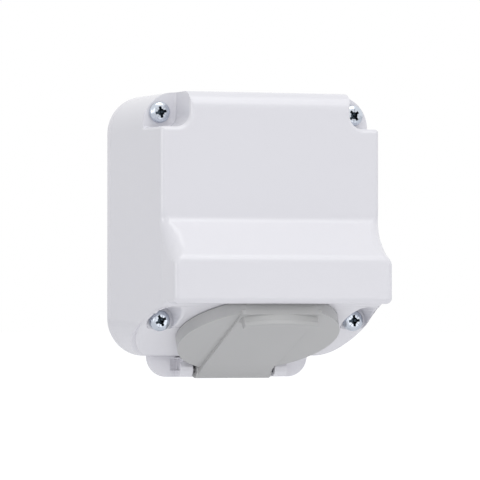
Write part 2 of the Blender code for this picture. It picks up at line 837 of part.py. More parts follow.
def sunk_seat(radius, head_radius, head_top, low, steps):
    """Cutter for a countersunk screw's hole, a gap larger all round."""
    drop = gap * 0.5
    profile = [
        (0.0, low), (radius + gap, low), (radius + gap, head_top - sink_height - drop),
        (head_radius + gap, head_top - 0.2 - drop), (head_radius + gap, head_top + 1.0),
        (0.0, head_top + 1.0),
    ]
    return turned(profile, steps)


def cut_cross(screw, name, reach, width, low, high, frame):
    for j, (x, y) in enumerate([(reach, width), (width, reach)]):
        bar = block((-x, -y, low), (x, y, high))
        cut(screw, add_guide("cross_%d_%s" % (j, name), bar, frame))


def build_flange_screws(material):
    screws = []
    for i, (x, y) in enumerate(flange_screw_points()):
        name = "flange_screw_%d" % (i + 1)
        place = slanted @ Matrix.Translation((x, y, 0.0)) @ Matrix.Rotation(0.3 * i, 4, "Z")
        shape = countersunk(flange_screw_radius, flange_screw_head, flange_high_z, flange_screw_length, 12)
        screw = add_object(name, shape, material, place)
        reach = flange_screw_head * 0.7
        cut_cross(screw, name, reach, 0.35, flange_high_z - 0.9, flange_high_z + 1.0, place)
        screws.append(screw)
    return screws


def build_centre_screw(material):
    length = centre_screw_top - carrier_top_z + centre_screw_bite
    shape = countersunk(centre_screw_radius, centre_screw_head, centre_screw_top, length, 24)
    screw = add_object("centre_screw", shape, material, slanted)
    reach = centre_screw_head * 0.66
    cut_cross(screw, "centre", reach, 0.45, cup_floor_z - 1.4, cup_floor_z + 1.0, slanted)
    return screw


def build_carrier(material):
    """Block behind the cup with a chamber for each contact, open at the back."""
    half_x, half_y = carrier_half_x, carrier_half_y
    outline = box_outline(-half_x, half_x, -half_y, half_y, carrier_round, 4)
    carrier = add_object("contact_carrier", prism(outline, carrier_back_z, carrier_top_z), material, slanted)
    inner_low = carrier_back_z - 1.0
    chamber_top = carrier_top_z - carrier_skin
    for side in (-1.0, 1.0):
        word = "left" if side < 0 else "right"
        x = side * pin_spacing / 2
        bore = rod(sleeve_radius + gap, inner_low, chamber_top, (x, 0.0), 24)
        mouth = rod(pin_hole_radius, chamber_top - 1.0, carrier_top_z + 1.0, (x, 0.0), 20)
        low, high = sorted((x, side * (terminal_x + terminal_half + gap)))
        half = terminal_half + gap
        room = block((low, -half, inner_low), (high, half, chamber_top - gap))
        cut(carrier, add_guide("sleeve_bore_" + word, bore, slanted))
        cut(carrier, add_guide("sleeve_mouth_" + word, mouth, slanted))
        cut(carrier, add_guide("terminal_room_" + word, room, slanted))
    half = terminal_half + gap
    earth_low = (-half, earth_tab_y - half, inner_low)
    earth_high = (half, earth_tab_y + half, carrier_top_z + 1.0)
    cut(carrier, add_guide("earth_room", block(earth_low, earth_high), slanted))
    hole_low = carrier_top_z - centre_screw_bite - 1.0
    hole = rod(centre_screw_radius + gap, hole_low, carrier_top_z + 1.0, steps=16)
    cut(carrier, add_guide("carrier_hole", hole, slanted))
    return carrier


def build_contact(name, side, material):
    """Split sleeve for a plug pin, with a bridge to a clamp block beside it."""
    top = carrier_top_z - carrier_skin - gap
    low = clamp_low_z
    x = side * pin_spacing / 2
    sleeve = rod(sleeve_radius, low + gap, top, (x, 0.0), 24)
    contact = add_object(name, sleeve, material, slanted)
    start = side * (pin_spacing / 2 + sleeve_radius - 0.6)
    near, far = sorted((start, side * (terminal_x + terminal_half)))
    body = block((near, -terminal_half, low), (far, terminal_half, low + terminal_length))
    join(contact, add_guide("clamp_" + name, body, slanted))
    bore = rod(sleeve_radius - sleeve_wall, low - 1, top + 1, (x, 0.0), 20)
    cut(contact, add_guide("sleeve_space_" + name, bore, slanted))
    slit_near, slit_far = sorted((x - side * (sleeve_radius + 1), x))
    slit = block((slit_near, -sleeve_slit / 2, low - 1), (slit_far, sleeve_slit / 2, top + 1))
    cut(contact, add_guide("slit_" + name, slit, slanted))
    hole = rod(terminal_screw_radius + gap, low - 1, low + terminal_length - 1.0, (side * terminal_x, 0.0), 16)
    cut(contact, add_guide("thread_" + name, hole, slanted))
    way_low = low + wire_low
    way_near, way_far = sorted((side * (terminal_x - wire_half), side * (terminal_x + wire_half)))
    reach = terminal_half + 1
    way = block((way_near, -reach, way_low), (way_far, reach, way_low + 2 * wire_half))
    cut(contact, add_guide("wire_way_" + name, way, slanted))
    return contact


def build_terminal_screw(name, x, y, material):
    low = clamp_low_z
    head = low - gap
    profile = [
        (0.0, head - terminal_head_height), (terminal_head_radius - edge_break, head - terminal_head_height),
        (terminal_head_radius, head - terminal_head_height + edge_break), (terminal_head_radius, head),
        (terminal_screw_radius, head), (terminal_screw_radius, low + wire_low - 2 * gap),
        (terminal_screw_radius - edge_break, low + wire_low - gap), (0.0, low + wire_low - gap),
    ]
    place = slanted @ Matrix.Translation((x, y, 0.0))
    screw = add_object(name, turned(profile, 20), material, place)
    slot = block((-terminal_head_radius - 1, -0.35, head - 3.0), (terminal_head_radius + 1, 0.35, head - 1.0))
    cut(screw, add_guide("slot_" + name, slot, place))
    return screw


def strip_outline(points, thick):
    """Outline of a bent strip of even thickness along a line of points."""
    places = [Vector(point) for point in points]
    left = []
    right = []
    for i, place in enumerate(places):
        before = (place - places[i - 1]).normalized() if i > 0 else None
        after = (places[i + 1] - place).normalized() if i < len(places) - 1 else None
        before = before or after
        after = after or before
        normal_in = Vector((-before.y, before.x))
        normal_out = Vector((-after.y, after.x))
        shift = (normal_in + normal_out) * (thick / 2 / (1.0 + normal_in.dot(normal_out)))
        left.append(place + shift)
        right.append(place - shift)
    return left + right[::-1]


def build_earth_strap(material):
    """One folded strip: two sprung side clips, a bridge behind the cup and a clamp tab."""
    bridge_z = (cup_back_z + carrier_top_z) / 2
    side_line = [
        (strap_reach - 0.6, -2.0), (strap_reach - 2.2, -5.4), (strap_reach, -9.5),
        (strap_reach, bridge_z + 0.9), (strap_reach - 0.9, bridge_z),
    ]
    line = side_line + [(-y, z) for y, z in side_line[::-1]]
    outline = strip_outline(line, strap_thick)
    rings = [[(x, p[0], p[1]) for p in outline] for x in (-strap_half, strap_half)]
    strap = add_object("earth_strap", loft(rings), material, slanted)
    hole = rod(centre_screw_radius + gap, bridge_z - 2, bridge_z + 2, steps=16)
    cut(strap, add_guide("strap_hole", hole, slanted))
    low = clamp_low_z
    half = terminal_half
    tab = block((-half, earth_tab_y - half, low), (half, earth_tab_y + half, bridge_z))
    join(strap, add_guide("earth_clamp", tab, slanted))
    thread = rod(terminal_screw_radius + gap, low - 1, low + terminal_length - 1.0, (0.0, earth_tab_y), 16)
    cut(strap, add_guide("earth_thread", thread, slanted))
    way_low = low + wire_low
    near = earth_tab_y - wire_half
    far = earth_tab_y + wire_half
    way = block((-half - 1, near, way_low), (half + 1, far, way_low + 2 * wire_half))
    cut(strap, add_guide("earth_wire_way", way, slanted))
    return strap


# Lid

def lid_outline(radius, front, steps=round_steps):
    """Circle with a straight front end, rounded a little where the two meet."""
    if front >= radius:
        return circle(radius, steps=steps + 6)
    half = math.acos(front / radius)
    start = math.pi / 2 + half
    sweep = 2 * math.pi - 2 * half
    points = []
    for i in range(steps + 1):
        angle = start + sweep * i / steps
        points.append((radius * math.cos(angle), radius * math.sin(angle)))
    corner = 1.2
    left = points[0]
    right = points[-1]
    points[0] = (left[0] - 0.2, left[1] - corner * 0.5)
    points[-1] = (right[0] + 0.2, right[1] - corner * 0.5)
    points += [(right[0] - corner, right[1]), (0.0, front), (left[0] + corner, left[1])]
    return points


def build_lid(material):
    rings = []
    for drop, inset in [(0.0, 0.0), (lid_height - lid_edge_round, 0.15)]:
        rings.append((drop, inset))
    for k in range(1, fillet_steps + 1):
        angle = math.pi / 2 * k / fillet_steps
        rings.append((
            lid_height - lid_edge_round * (1.0 - math.sin(angle)),
            0.15 + lid_edge_round * (1.0 - math.cos(angle)),
        ))
    shell = loft([
        [(x, y, z) for x, y in lid_outline(lid_radius - inset, lid_front - inset)]
        for z, inset in rings
    ])
    lid = add_object("socket_lid", shell, material, slanted, origin=pin_place)
    join(lid, add_guide("band_guide", band_form(), slanted))
    join(lid, add_guide("knuckle_guide", knuckle_form(), slanted))
    cut(lid, lid_cavity(), *grip_guides(), bay_guide())
    across = Matrix.Translation(pin_place) @ Matrix.Rotation(math.pi / 2, 4, "Y")
    hole = rod(pin_radius + running_gap, -ear_inner - 1, ear_inner + 1, steps=20)
    cut(lid, add_guide("lid_pin_hole", hole, across))
    for i, radius in enumerate((seal_inner() - gap - 0.8, seal_outer() + gap)):
        top = lid_height - lid_skin
        profile = [(radius, top - 0.8), (radius + 0.8, top - 0.8), (radius + 0.8, top + 0.4)]
        rib = turned(profile + [(radius, top + 0.4)], 32)
        join(lid, add_guide("seal_rib_%d" % i, rib, slanted))
    return lid


def band_form():
    """Raised band from the grip to the knuckle, narrower and a little higher at the hinge."""
    knuckle_top = pin_height + knuckle_radius
    low = lid_height - 0.8
    rise = 0.35
    front = lid_front - 0.1
    rear = pin_local_y
    base = [
        (-band_rear_half, rear), (band_rear_half, rear),
        (band_front_half, front), (-band_front_half, front),
    ]
    top = []
    for x, y in base:
        share = (front - y) / (front - rear)
        top.append((x - math.copysign(rise, x), y, band_top + (knuckle_top - band_top) * share))
    return loft([[(x, y, low) for x, y in base], top])


def knuckle_form():
    """Round knuckle on the pin's axis, blended to the lid's edge by a straight web."""
    steps = 28
    ring = []
    for i in range(steps):
        angle = 2 * math.pi * i / steps
        ring.append((
            pin_local_y + knuckle_radius * math.cos(angle),
            pin_height + knuckle_radius * math.sin(angle),
        ))
    return loft([[(x, y, z) for y, z in ring] for x in (-knuckle_half, knuckle_half)])


def lid_cavity():
    top = lid_height - lid_skin
    outline = lid_outline(lid_radius - lid_rim_wall, lid_front - lid_rim_wall)
    cavity = add_guide("lid_cavity", prism(outline, -2.0, top), slanted)
    floor_under = grip_floor_height - 1.4
    keep = add_guide("grip_keep", rod(lid_radius + 2.0, floor_under, top + 1.0), slanted)
    cut(keep, add_guide("grip_keep_core", rod(grip_inner_radius + 0.5, floor_under - 1, top + 2), slanted))
    side = grip_half + 1.2
    window = add_guide("grip_keep_window", block((-side, 5.0, -3.0), (side, 45.0, 9.0)), slanted)
    boolean(keep, window, "INTERSECT")
    cut(cavity, keep)
    return cavity


def grip_guides():
    """Stepped scoop at the lid's front end, with two curved edges for the finger."""
    steps = [
        (grip_inner_radius, grip_step_height, grip_half),
        (grip_step_radius, grip_floor_height, grip_half - 0.2),
    ]
    tools = []
    for i, (radius, low, half) in enumerate(steps):
        ring = add_guide("grip_ring_%d" % i, rod(lid_radius + 4.0 - i, low, 14.0 - i), slanted)
        cut(ring, add_guide("grip_core_%d" % i, rod(radius, low - 1.0, 15.0), slanted))
        window = block((-half, 5.0, low - 2.0), (half, 45.0, 16.0))
        boolean(ring, add_guide("grip_window_%d" % i, window, slanted), "INTERSECT")
        tools.append(ring)
    return tools


def bay_guide():
    """Room in the knuckle for the spring, open to the wall, and a slot for the spring's leg."""
    centre = (pin_local_y, pin_height)
    radius = spring_coil_radius + spring_wire / 2 + gap
    outline = [(centre[0] + radius * math.cos(a), centre[1] + radius * math.sin(a))
               for a in [math.pi * k / 10 for k in range(11)]]
    outline += [(centre[0] - knuckle_radius - 2.0, centre[1]), (centre[0] - knuckle_radius - 2.0, -6.0)]
    outline += [(centre[0] + radius, -6.0)]
    ring = [[(x, y, z) for y, z in outline] for x in (-spring_bay_half, spring_bay_half)]
    bay = add_guide("spring_bay", loft(ring), slanted)
    leg_x = spring_half()
    room = spring_wire / 2 + gap
    slot_top = pin_height - spring_coil_radius + room + gap
    slot = block((leg_x - room, pin_local_y, -3.0), (leg_x + room, pin_local_y + spring_leg, slot_top))
    join(bay, add_guide("leg_slot", slot, slanted))
    return bay


def spring_half():
    return spring_turns * spring_pitch / 2


def seal_inner():
    return recess_radius - 0.1


def seal_outer():
    return collar_radius + 0.4


def build_lid_seal(material):
    low = collar_height + gap
    high = lid_height - lid_skin - gap
    inner = seal_inner()
    outer = seal_outer()
    middle = (inner + outer) / 2
    profile = [
        (inner, high), (inner, low + 0.3), (middle, low), (outer, low + 0.3), (outer, high),
    ]
    return add_object("lid_seal", turned(profile, 32), material, slanted, origin=pin_place)


def build_hinge_pin(material):
    high = ear_outer - 0.2
    head = -ear_outer + pin_head_room - gap
    profile = [
        (0.0, head - 0.8), (pin_head_radius - 0.4, head - 0.8), (pin_head_radius, head - 0.4),
        (pin_head_radius, head), (pin_radius, head), (pin_radius, high - 0.4),
        (pin_radius - 0.3, high), (0.0, high),
    ]
    across = Matrix.Translation(pin_place) @ Matrix.Rotation(math.pi / 2, 4, "Y")
    return add_object("hinge_pin", turned(profile, 20), material, across)


def build_spring(material):
    """Torsion spring round the pin: one leg on the apron, the other under the lid's skin."""
    half = spring_half()
    start = -math.pi / 2
    low = pin_height - spring_coil_radius
    under_skin = lid_height - lid_skin - gap - spring_wire / 2
    count = spring_turns * spring_turn_steps
    points = [(half, pin_local_y + spring_leg, under_skin)]
    for i in range(count + 1):
        angle = start - 2 * math.pi * i / spring_turn_steps
        points.append((
            half - 2 * half * i / count,
            pin_local_y + spring_coil_radius * math.cos(angle),
            pin_height + spring_coil_radius * math.sin(angle),
        ))
    rest_depth = back_wall + gap + spring_wire / 2
    points.append((-half, (rest_depth - lid_centre_depth - sin_slant * low) / cos_slant, low))
    return add_object("lid_spring", tube(points, spring_wire / 2, 5), material, slanted)


def main():
    clear_scene()
    white = make_material("cool_white_plastic", (0.80, 0.81, 0.85), 0.35)
    grey = make_material("grey_plastic", (0.42, 0.43, 0.43), 0.4)
    dark = make_material("dark_thermoset", (0.08, 0.08, 0.085), 0.45)
    rubber = make_material("black_rubber", (0.03, 0.03, 0.03), 0.8)
    zinc = make_material("zinc_plated_steel", (0.70, 0.74, 0.80), 0.25, 1.0)
    spring_steel = make_material("spring_steel", (0.45, 0.45, 0.46), 0.3, 1.0)
    brass = make_material("brass", (0.75, 0.57, 0.28), 0.3, 1.0)

    hinge = bpy.data.objects.new("lid_hinge", None)
    hinge.location = pin_place * MM
    bpy.context.scene.collection.objects.link(hinge)

    build_back_box(white)
    build_front_cover(white)
    build_cover_gasket(rubber)
    build_cover_screws(zinc)
    build_grommet(rubber)
    build_socket_cup(grey)
    build_flange_gasket(rubber)
    build_flange_screws(zinc)
    build_centre_screw(zinc)
    build_carrier(dark)
    build_contact("live_contact", 1.0, brass)
    build_contact("neutral_contact", -1.0, brass)
    build_earth_strap(brass)
    build_terminal_screw("live_terminal_screw", terminal_x, 0.0, zinc)
    build_terminal_screw("neutral_terminal_screw", -terminal_x, 0.0, zinc)
    build_terminal_screw("earth_terminal_screw", 0.0, earth_tab_y, zinc)
    build_hinge_pin(spring_steel)
    build_spring(spring_steel)
    for moving in (build_lid(grey), build_lid_seal(rubber)):
        moving.parent = hinge
        moving.location = (0.0, 0.0, 0.0)


main()
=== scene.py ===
import math

import bmesh
import bpy
from mathutils import Matrix, Vector


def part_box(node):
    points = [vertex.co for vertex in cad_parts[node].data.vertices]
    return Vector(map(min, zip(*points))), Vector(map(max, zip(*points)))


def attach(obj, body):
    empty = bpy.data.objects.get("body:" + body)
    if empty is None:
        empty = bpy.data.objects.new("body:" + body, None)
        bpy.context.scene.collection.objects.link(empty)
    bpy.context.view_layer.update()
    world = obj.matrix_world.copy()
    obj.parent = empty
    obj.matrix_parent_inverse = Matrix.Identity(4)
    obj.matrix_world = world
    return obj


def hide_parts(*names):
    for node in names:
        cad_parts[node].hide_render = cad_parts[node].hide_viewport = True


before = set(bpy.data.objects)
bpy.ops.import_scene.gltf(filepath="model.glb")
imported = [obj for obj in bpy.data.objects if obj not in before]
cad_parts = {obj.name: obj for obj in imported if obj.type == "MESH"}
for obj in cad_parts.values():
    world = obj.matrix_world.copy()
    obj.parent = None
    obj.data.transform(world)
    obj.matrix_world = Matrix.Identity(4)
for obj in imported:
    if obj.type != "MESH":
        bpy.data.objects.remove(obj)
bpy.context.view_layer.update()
print("frame loaded:", len(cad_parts), "nodes")

# Shapes are drawn in millimetres and become metres when a piece is finished.
# A depth is measured out from the wall, so y = -depth.
mm = 0.001
gap = 0.3
sharpAngle = 34.0     # edges sharper than this stay sharp in the shading
past = 1.0            # how far a small cutter runs past a face
farSide = 100.0       # beyond the object on every side
mergeWithin = {"cut": 0.003, "copy": 0.002, "spin": 0.0005}     # closer points become one

housing = {
    "draft": ((4.3, 50.0), (52.3, 45.1), (67.61, 44.8)),  # depth and half width
    "low": -51.4,
    "high": 51.4,
    "corner": 15.0,
    "cornerTaper": 0.65,
    "cornerSteps": 18,
    "screwX": 40.3,
    "screwHigh": 43.5,
    "screwLow": -37.5,
    "bossRadius": 4.2,
    "pilotRadius": 2.05,
}

hinge = {
    "slant": 22.5,       # lid plane from level, degrees
    "reach": 33.0,       # pin axis from the lid's middle
    "height": 3.84,      # pin axis out from the lid's back plane
    "pinRadius": 1.1,
    "pinEdge": 0.25,
    "pinShort": 0.2,     # pin ends this far inside the right ear
    "blindWall": 2.4,    # left ear closes over the pin
    "earInner": 17.2,
    "earOuter": 22.5,
}

slantTurn = Matrix.Rotation(math.pi - math.radians(hinge["slant"]), 4, "X")
pinLow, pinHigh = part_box("hinge_pin")
pinPlace = Vector((0.0, (pinLow.y + pinHigh.y) / 2, (pinLow.z + pinHigh.z) / 2)) / mm
lidCentre = pinPlace - slantTurn @ Vector((0.0, -hinge["reach"], hinge["height"]))
slanted = Matrix.Translation(lidCentre) @ slantTurn
outward = Matrix.Rotation(math.pi / 2, 4, "X")     # turns z out from the wall
across = Matrix.Translation(pinPlace) @ Matrix.Rotation(math.pi / 2, 4, "Y")

screwPlaces = {
    "cover_screw_top_left": (-housing["screwX"], housing["screwHigh"]),
    "cover_screw_top_right": (housing["screwX"], housing["screwHigh"]),
    "cover_screw_bottom_left": (-housing["screwX"], housing["screwLow"]),
    "cover_screw_bottom_right": (housing["screwX"], housing["screwLow"]),
}


# Shape tools

def shift(maker, matrix):
    bmesh.ops.transform(maker, matrix=matrix, verts=maker.verts)
    return maker


def moved(x=0.0, y=0.0, z=0.0):
    return Matrix.Translation((x, y, z))


def spunBy(angle, axis):
    return Matrix.Rotation(angle, 4, axis)


# Sine and cosine at each step of a quarter turn.
def quarterTurn(steps):
    angles = [math.pi / 2 * k / steps for k in range(steps + 1)]
    return [(math.sin(angle), math.cos(angle)) for angle in angles]


# Pick the edges that lie wholly above a height, or wholly further out from the wall.
def above(height):
    return lambda edge: min(vert.co.z for vert in edge.verts) > height


def outFrom(depth):
    return lambda edge: min(-vert.co.y for vert in edge.verts) > depth


# A closed solid through rings of points, each ring pulled from the one before.
def pullRings(rings):
    maker = bmesh.new()
    order = {maker.verts.new(point): i for i, point in enumerate(rings[0])}
    maker.faces.new(list(order))
    edges = maker.edges[:]
    for ring in rings[1:]:
        geom = bmesh.ops.extrude_edge_only(maker, edges=edges)["geom"]
        fresh = {}
        for vert in geom:
            if not isinstance(vert, bmesh.types.BMVert):
                continue
            behind = [edge.other_vert(vert) for edge in vert.link_edges]
            fresh[vert] = next(order[other] for other in behind if other in order)
        for vert, i in fresh.items():
            vert.co = ring[i]
        pulled = [item for item in geom if isinstance(item, bmesh.types.BMEdge)]
        edges = [edge for edge in pulled if all(vert in fresh for vert in edge.verts)]
        order = fresh
    bmesh.ops.contextual_create(maker, geom=edges)
    bmesh.ops.recalc_face_normals(maker, faces=maker.faces)
    return maker


# Arc between two directions at a corner: points and outward normals.
def arcAt(corner, before, after, radius, steps):
    turn = before.cross(after)
    normalIn = Vector((-before.y, before.x))
    normalOut = Vector((-after.y, after.x))
    if radius <= 0.0 or abs(turn) < 1e-6:
        return [(corner, (normalIn + normalOut).normalized())]
    side = -1.0 if turn < 0.0 else 1.0
    centre = corner + (normalIn + normalOut) * (side * radius / (1.0 + normalIn.dot(normalOut)))
    start = math.atan2(normalIn.y, normalIn.x)
    sweep = math.atan2(turn, before.dot(after))
    result = []
    for i in range(steps + 1):
        angle = start + sweep * i / steps
        normal = Vector((math.cos(angle), math.sin(angle)))
        result.append((centre - normal * (side * radius), normal))
    return result


def roundedOutline(corners, radii, steps):
    count = len(corners)
    points = []
    for i, corner in enumerate(corners):
        here = Vector(corner)
        before = (here - Vector(corners[i - 1])).normalized()
        after = (Vector(corners[(i + 1) % count]) - here).normalized()
        points += [place for place, normal in arcAt(here, before, after, radii[i], steps)]
    return points


def circlePoints(radius, centre, steps):
    angles = [2 * math.pi * i / steps for i in range(steps)]
    return [Vector((centre[0] + radius * math.cos(angle), centre[1] + radius * math.sin(angle)))
            for angle in angles]


def depthPrism(outline, near, far):
    return pullRings([[(p[0], -depth, p[1]) for p in outline] for depth in (near, far)])


def rod(radius, low, high, centre=(0.0, 0.0), steps=64):
    maker = bmesh.new()
    bmesh.ops.create_cone(
        maker, cap_ends=True, segments=steps, radius1=radius, radius2=radius, depth=high - low)
    return shift(maker, moved(centre[0], centre[1], (low + high) / 2))


def block(low, high):
    maker = bmesh.new()
    bmesh.ops.create_cube(maker, size=1.0)
    bmesh.ops.scale(maker, vec=Vector(high) - Vector(low), verts=maker.verts)
    return shift(maker, Matrix.Translation((Vector(high) + Vector(low)) / 2))


# A profile of radius and height spun round z.
def turned(profile, steps=72):
    maker = bmesh.new()
    verts = [maker.verts.new((radius, 0.0, height)) for radius, height in profile]
    edges = [maker.edges.new(pair) for pair in zip(verts, verts[1:])]
    if profile[0][0] > 0.0 or profile[-1][0] > 0.0:
        edges.append(maker.edges.new((verts[-1], verts[0])))
    bmesh.ops.spin(
        maker, geom=verts + edges, axis=(0, 0, 1), cent=(0, 0, 0), angle=2 * math.pi, steps=steps,
        use_merge=True)
    bmesh.ops.remove_doubles(maker, verts=maker.verts, dist=mergeWithin["spin"])
    poles = [vert for vert in maker.verts if vert.co.xy.length < 1e-5]
    bmesh.ops.dissolve_verts(maker, verts=poles)
    bmesh.ops.recalc_face_normals(maker, faces=maker.faces)
    return maker


def roundEdges(maker, width, segments=3, pick=None, angle=35.0, clamp=True):
    limit = math.radians(angle)
    edges = [e for e in maker.edges if e.is_manifold and e.calc_face_angle(0.0) > limit]
    if pick is not None:
        edges = [e for e in edges if pick(e)]
    if edges:
        bmesh.ops.bevel(
            maker, geom=edges, offset=width, offset_type="OFFSET", segments=segments, profile=0.5,
            affect="EDGES", material=-1, clamp_overlap=clamp)
    return maker


def looseObject(name, maker):
    mesh = bpy.data.meshes.new(name)
    if maker.calc_volume(signed=True) < 0.0:
        bmesh.ops.reverse_faces(maker, faces=maker.faces)
    maker.to_mesh(mesh)
    maker.free()
    item = bpy.data.objects.new(name, mesh)
    bpy.context.scene.collection.objects.link(item)
    return item


# Cuts, joins or keeps the common part of closed shapes, one after another.
def combine(maker, *steps):
    target = looseObject("combineBase", maker)
    tools = []
    for operation, tool in steps:
        tools.append(looseObject("combineTool", tool))
        boolean = target.modifiers.new(operation, "BOOLEAN")
        boolean.operation = operation
        boolean.solver = "EXACT"
        boolean.object = tools[-1]
    depsgraph = bpy.context.evaluated_depsgraph_get()
    result = bmesh.new()
    result.from_mesh(target.evaluated_get(depsgraph).data)
    for item in [target] + tools:
        bpy.data.objects.remove(item)
    bmesh.ops.remove_doubles(result, verts=result.verts, dist=mergeWithin["cut"])
    bmesh.ops.dissolve_degenerate(result, dist=mergeWithin["cut"], edges=result.edges)
    return result


def cutAll(maker, tools):
    return combine(maker, *[("DIFFERENCE", tool) for tool in tools])


def joinAll(maker, tools):
    return combine(maker, *[("UNION", tool) for tool in tools])


# Turns a shape in millimetres into a finished piece that rides a body.
def makePiece(name, maker, slot, body="housing", place=None, replacesNode=True):
    if place is not None:
        shift(maker, place)
    bmesh.ops.scale(maker, vec=(mm, mm, mm), verts=maker.verts)
    piece = looseObject(name + "_finished", maker)
    piece.data.materials.append(looks[slot])
    piece.data.shade_smooth()
    piece.data.set_sharp_from_angle(angle=math.radians(sharpAngle))
    weighted = piece.modifiers.new("evenNormals", "WEIGHTED_NORMAL")
    weighted.keep_sharp = True
    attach(piece, body)
    if replacesNode:
        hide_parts(name)
    print("made", name, len(piece.data.polygons), "faces")
    return piece


# Materials

# Fine grain of a moulded or rolled surface: colour, roughness and height that vary over it.
def makeGrainGroup():
    group = bpy.data.node_groups.new("surfaceGrain", "ShaderNodeTree")
    for way, kind, names in (
            ("INPUT", "Color", ("Base", "Shade")),
            ("INPUT", "Float", ("Patch Scale", "Grain Scale", "Low Roughness", "High Roughness")),
            ("OUTPUT", "Color", ("Colour",)),
            ("OUTPUT", "Float", ("Roughness", "Height"))):
        for name in names:
            group.interface.new_socket(name, in_out=way, socket_type="NodeSocket" + kind)
    nodes = group.nodes
    given = nodes.new("NodeGroupInput")
    result = nodes.new("NodeGroupOutput")
    coords = nodes.new("ShaderNodeTexCoord")
    patches = nodes.new("ShaderNodeTexNoise")
    patches.inputs["Detail"].default_value = 3.0
    grain = nodes.new("ShaderNodeTexNoise")
    grain.inputs["Detail"].default_value = 2.0
    tint = nodes.new("ShaderNodeMix")
    tint.data_type = "RGBA"
    blend = nodes.new("ShaderNodeMath")
    blend.operation = "ADD"
    blend.use_clamp = True
    half = nodes.new("ShaderNodeMath")
    half.operation = "MULTIPLY"
    half.inputs[1].default_value = 0.5
    rough = nodes.new("ShaderNodeMapRange")
    connect(
        group,
        (coords, "Object", patches, "Vector"), (coords, "Object", grain, "Vector"),
        (given, "Patch Scale", patches, "Scale"), (given, "Grain Scale", grain, "Scale"),
        (patches, "Fac", tint, "Factor"), (given, "Base", tint, "A"), (given, "Shade", tint, "B"),
        (patches, "Fac", blend, 0), (grain, "Fac", blend, 1), (blend, 0, half, 0),
        (half, 0, rough, "Value"), (given, "Low Roughness", rough, "To Min"),
        (given, "High Roughness", rough, "To Max"), (tint, "Result", result, "Colour"),
        (rough, "Result", result, "Roughness"), (grain, "Fac", result, "Height"))
    return group


# Each wire runs from a node's output to another node's input.
def connect(tree, *wires):
    for source, output, target, socket in wires:
        tree.links.new(source.outputs[output], target.inputs[socket])


grainGroup = makeGrainGroup()


def makeMaterial(name, spec):
    material = bpy.data.materials.new(name)
    material.use_nodes = True
    nodes = material.node_tree.nodes
    shader = nodes["Principled BSDF"]
    shader.inputs["Metallic"].default_value = spec.get("metallic", 0.0)
    grain = nodes.new("ShaderNodeGroup")
    grain.node_tree = grainGroup
    grain.inputs["Base"].default_value = (*spec["base"], 1.0)
    grain.inputs["Shade"].default_value = (*spec["shade"], 1.0)
    grain.inputs["Patch Scale"].default_value = spec["patch"]
    grain.inputs["Grain Scale"].default_value = spec["grain"]
    grain.inputs["Low Roughness"].default_value = spec["rough"][0]
    grain.inputs["High Roughness"].default_value = spec["rough"][1]
    bump = nodes.new("ShaderNodeBump")
    bump.inputs["Strength"].default_value = spec["bump"]
    bump.inputs["Distance"].default_value = bumpDistance
    connect(
        material.node_tree,
        (grain, "Colour", shader, "Base Color"), (grain, "Roughness", shader, "Roughness"),
        (grain, "Height", bump, "Height"), (bump, "Normal", shader, "Normal"))
    return material


bumpDistance = 0.0001     # metres
finishes = {
    "cool_white_plastic": {
        "base": (0.815, 0.808, 0.845), "shade": (0.80, 0.793, 0.83), "patch": 18.0,
        "grain": 1800.0, "rough": (0.2, 0.3), "bump": 0.04,
    },
    "grey_plastic": {
        "base": (0.502, 0.502, 0.499), "shade": (0.482, 0.482, 0.479), "patch": 25.0,
        "grain": 2200.0, "rough": (0.3, 0.42), "bump": 0.05,
    },
    "dark_thermoset": {
        "base": (0.075, 0.075, 0.08), "shade": (0.055, 0.055, 0.06), "patch": 60.0,
        "grain": 2500.0, "rough": (0.4, 0.55), "bump": 0.1,
    },
    "black_rubber": {
        "base": (0.03, 0.03, 0.03), "shade": (0.045, 0.045, 0.045), "patch": 90.0,
        "grain": 3000.0, "rough": (0.7, 0.85), "bump": 0.2,
    },
    "zinc_plated_steel": {
        "base": (0.66, 0.70, 0.76), "shade": (0.55, 0.60, 0.68), "patch": 220.0,
        "grain": 1500.0, "rough": (0.14, 0.26), "bump": 0.08, "metallic": 1.0,
    },
    # Painted shade: a dark copy of the zinc that stands in for the shade inside the screws' cross
    # recesses.
    "zinc_recess_shade": {
        "base": (0.10, 0.13, 0.16), "shade": (0.05, 0.07, 0.09), "patch": 400.0,
        "grain": 1500.0, "rough": (0.3, 0.45), "bump": 0.08, "metallic": 1.0,
    },
    "spring_steel": {
        "base": (0.42, 0.42, 0.43), "shade": (0.32, 0.32, 0.34), "patch": 300.0,
        "grain": 2500.0, "rough": (0.25, 0.4), "bump": 0.05, "metallic": 1.0,
    },
    "brass": {
        "base": (0.78, 0.58, 0.27), "shade": (0.68, 0.49, 0.22), "patch": 120.0,
        "grain": 2500.0, "rough": (0.22, 0.38), "bump": 0.06, "metallic": 1.0,
    },
}
looks = {name: makeMaterial(name, spec) for name, spec in finishes.items()}
print("materials ready")


# Housing outline

def halfWidthAt(depth):
    draft = housing["draft"]
    if depth <= draft[0][0]:
        return draft[0][1]
    for (near, wide), (far, narrow) in zip(draft, draft[1:]):
        if depth <= far:
            return wide + (narrow - wide) * (depth - near) / (far - near)
    return draft[-1][1]


def cornerRadiusAt(depth):
    lost = housing["draft"][0][1] - halfWidthAt(depth)
    return housing["corner"] - housing["cornerTaper"] * lost


def planOutline(depth, inset, steps=None):
    half = halfWidthAt(depth) - inset
    low = housing["low"] + inset
    high = housing["high"] - inset
    corners = [(-half, low), (half, low), (half, high), (-half, high)]
    radius = cornerRadiusAt(depth) - inset
    return roundedOutline(corners, [radius] * 4, steps or housing["cornerSteps"])


def planForm(depths, inset, steps=None):
    rings = [[(p[0], -depth, p[1]) for p in planOutline(depth, inset, steps)] for depth in depths]
    return pullRings(rings)


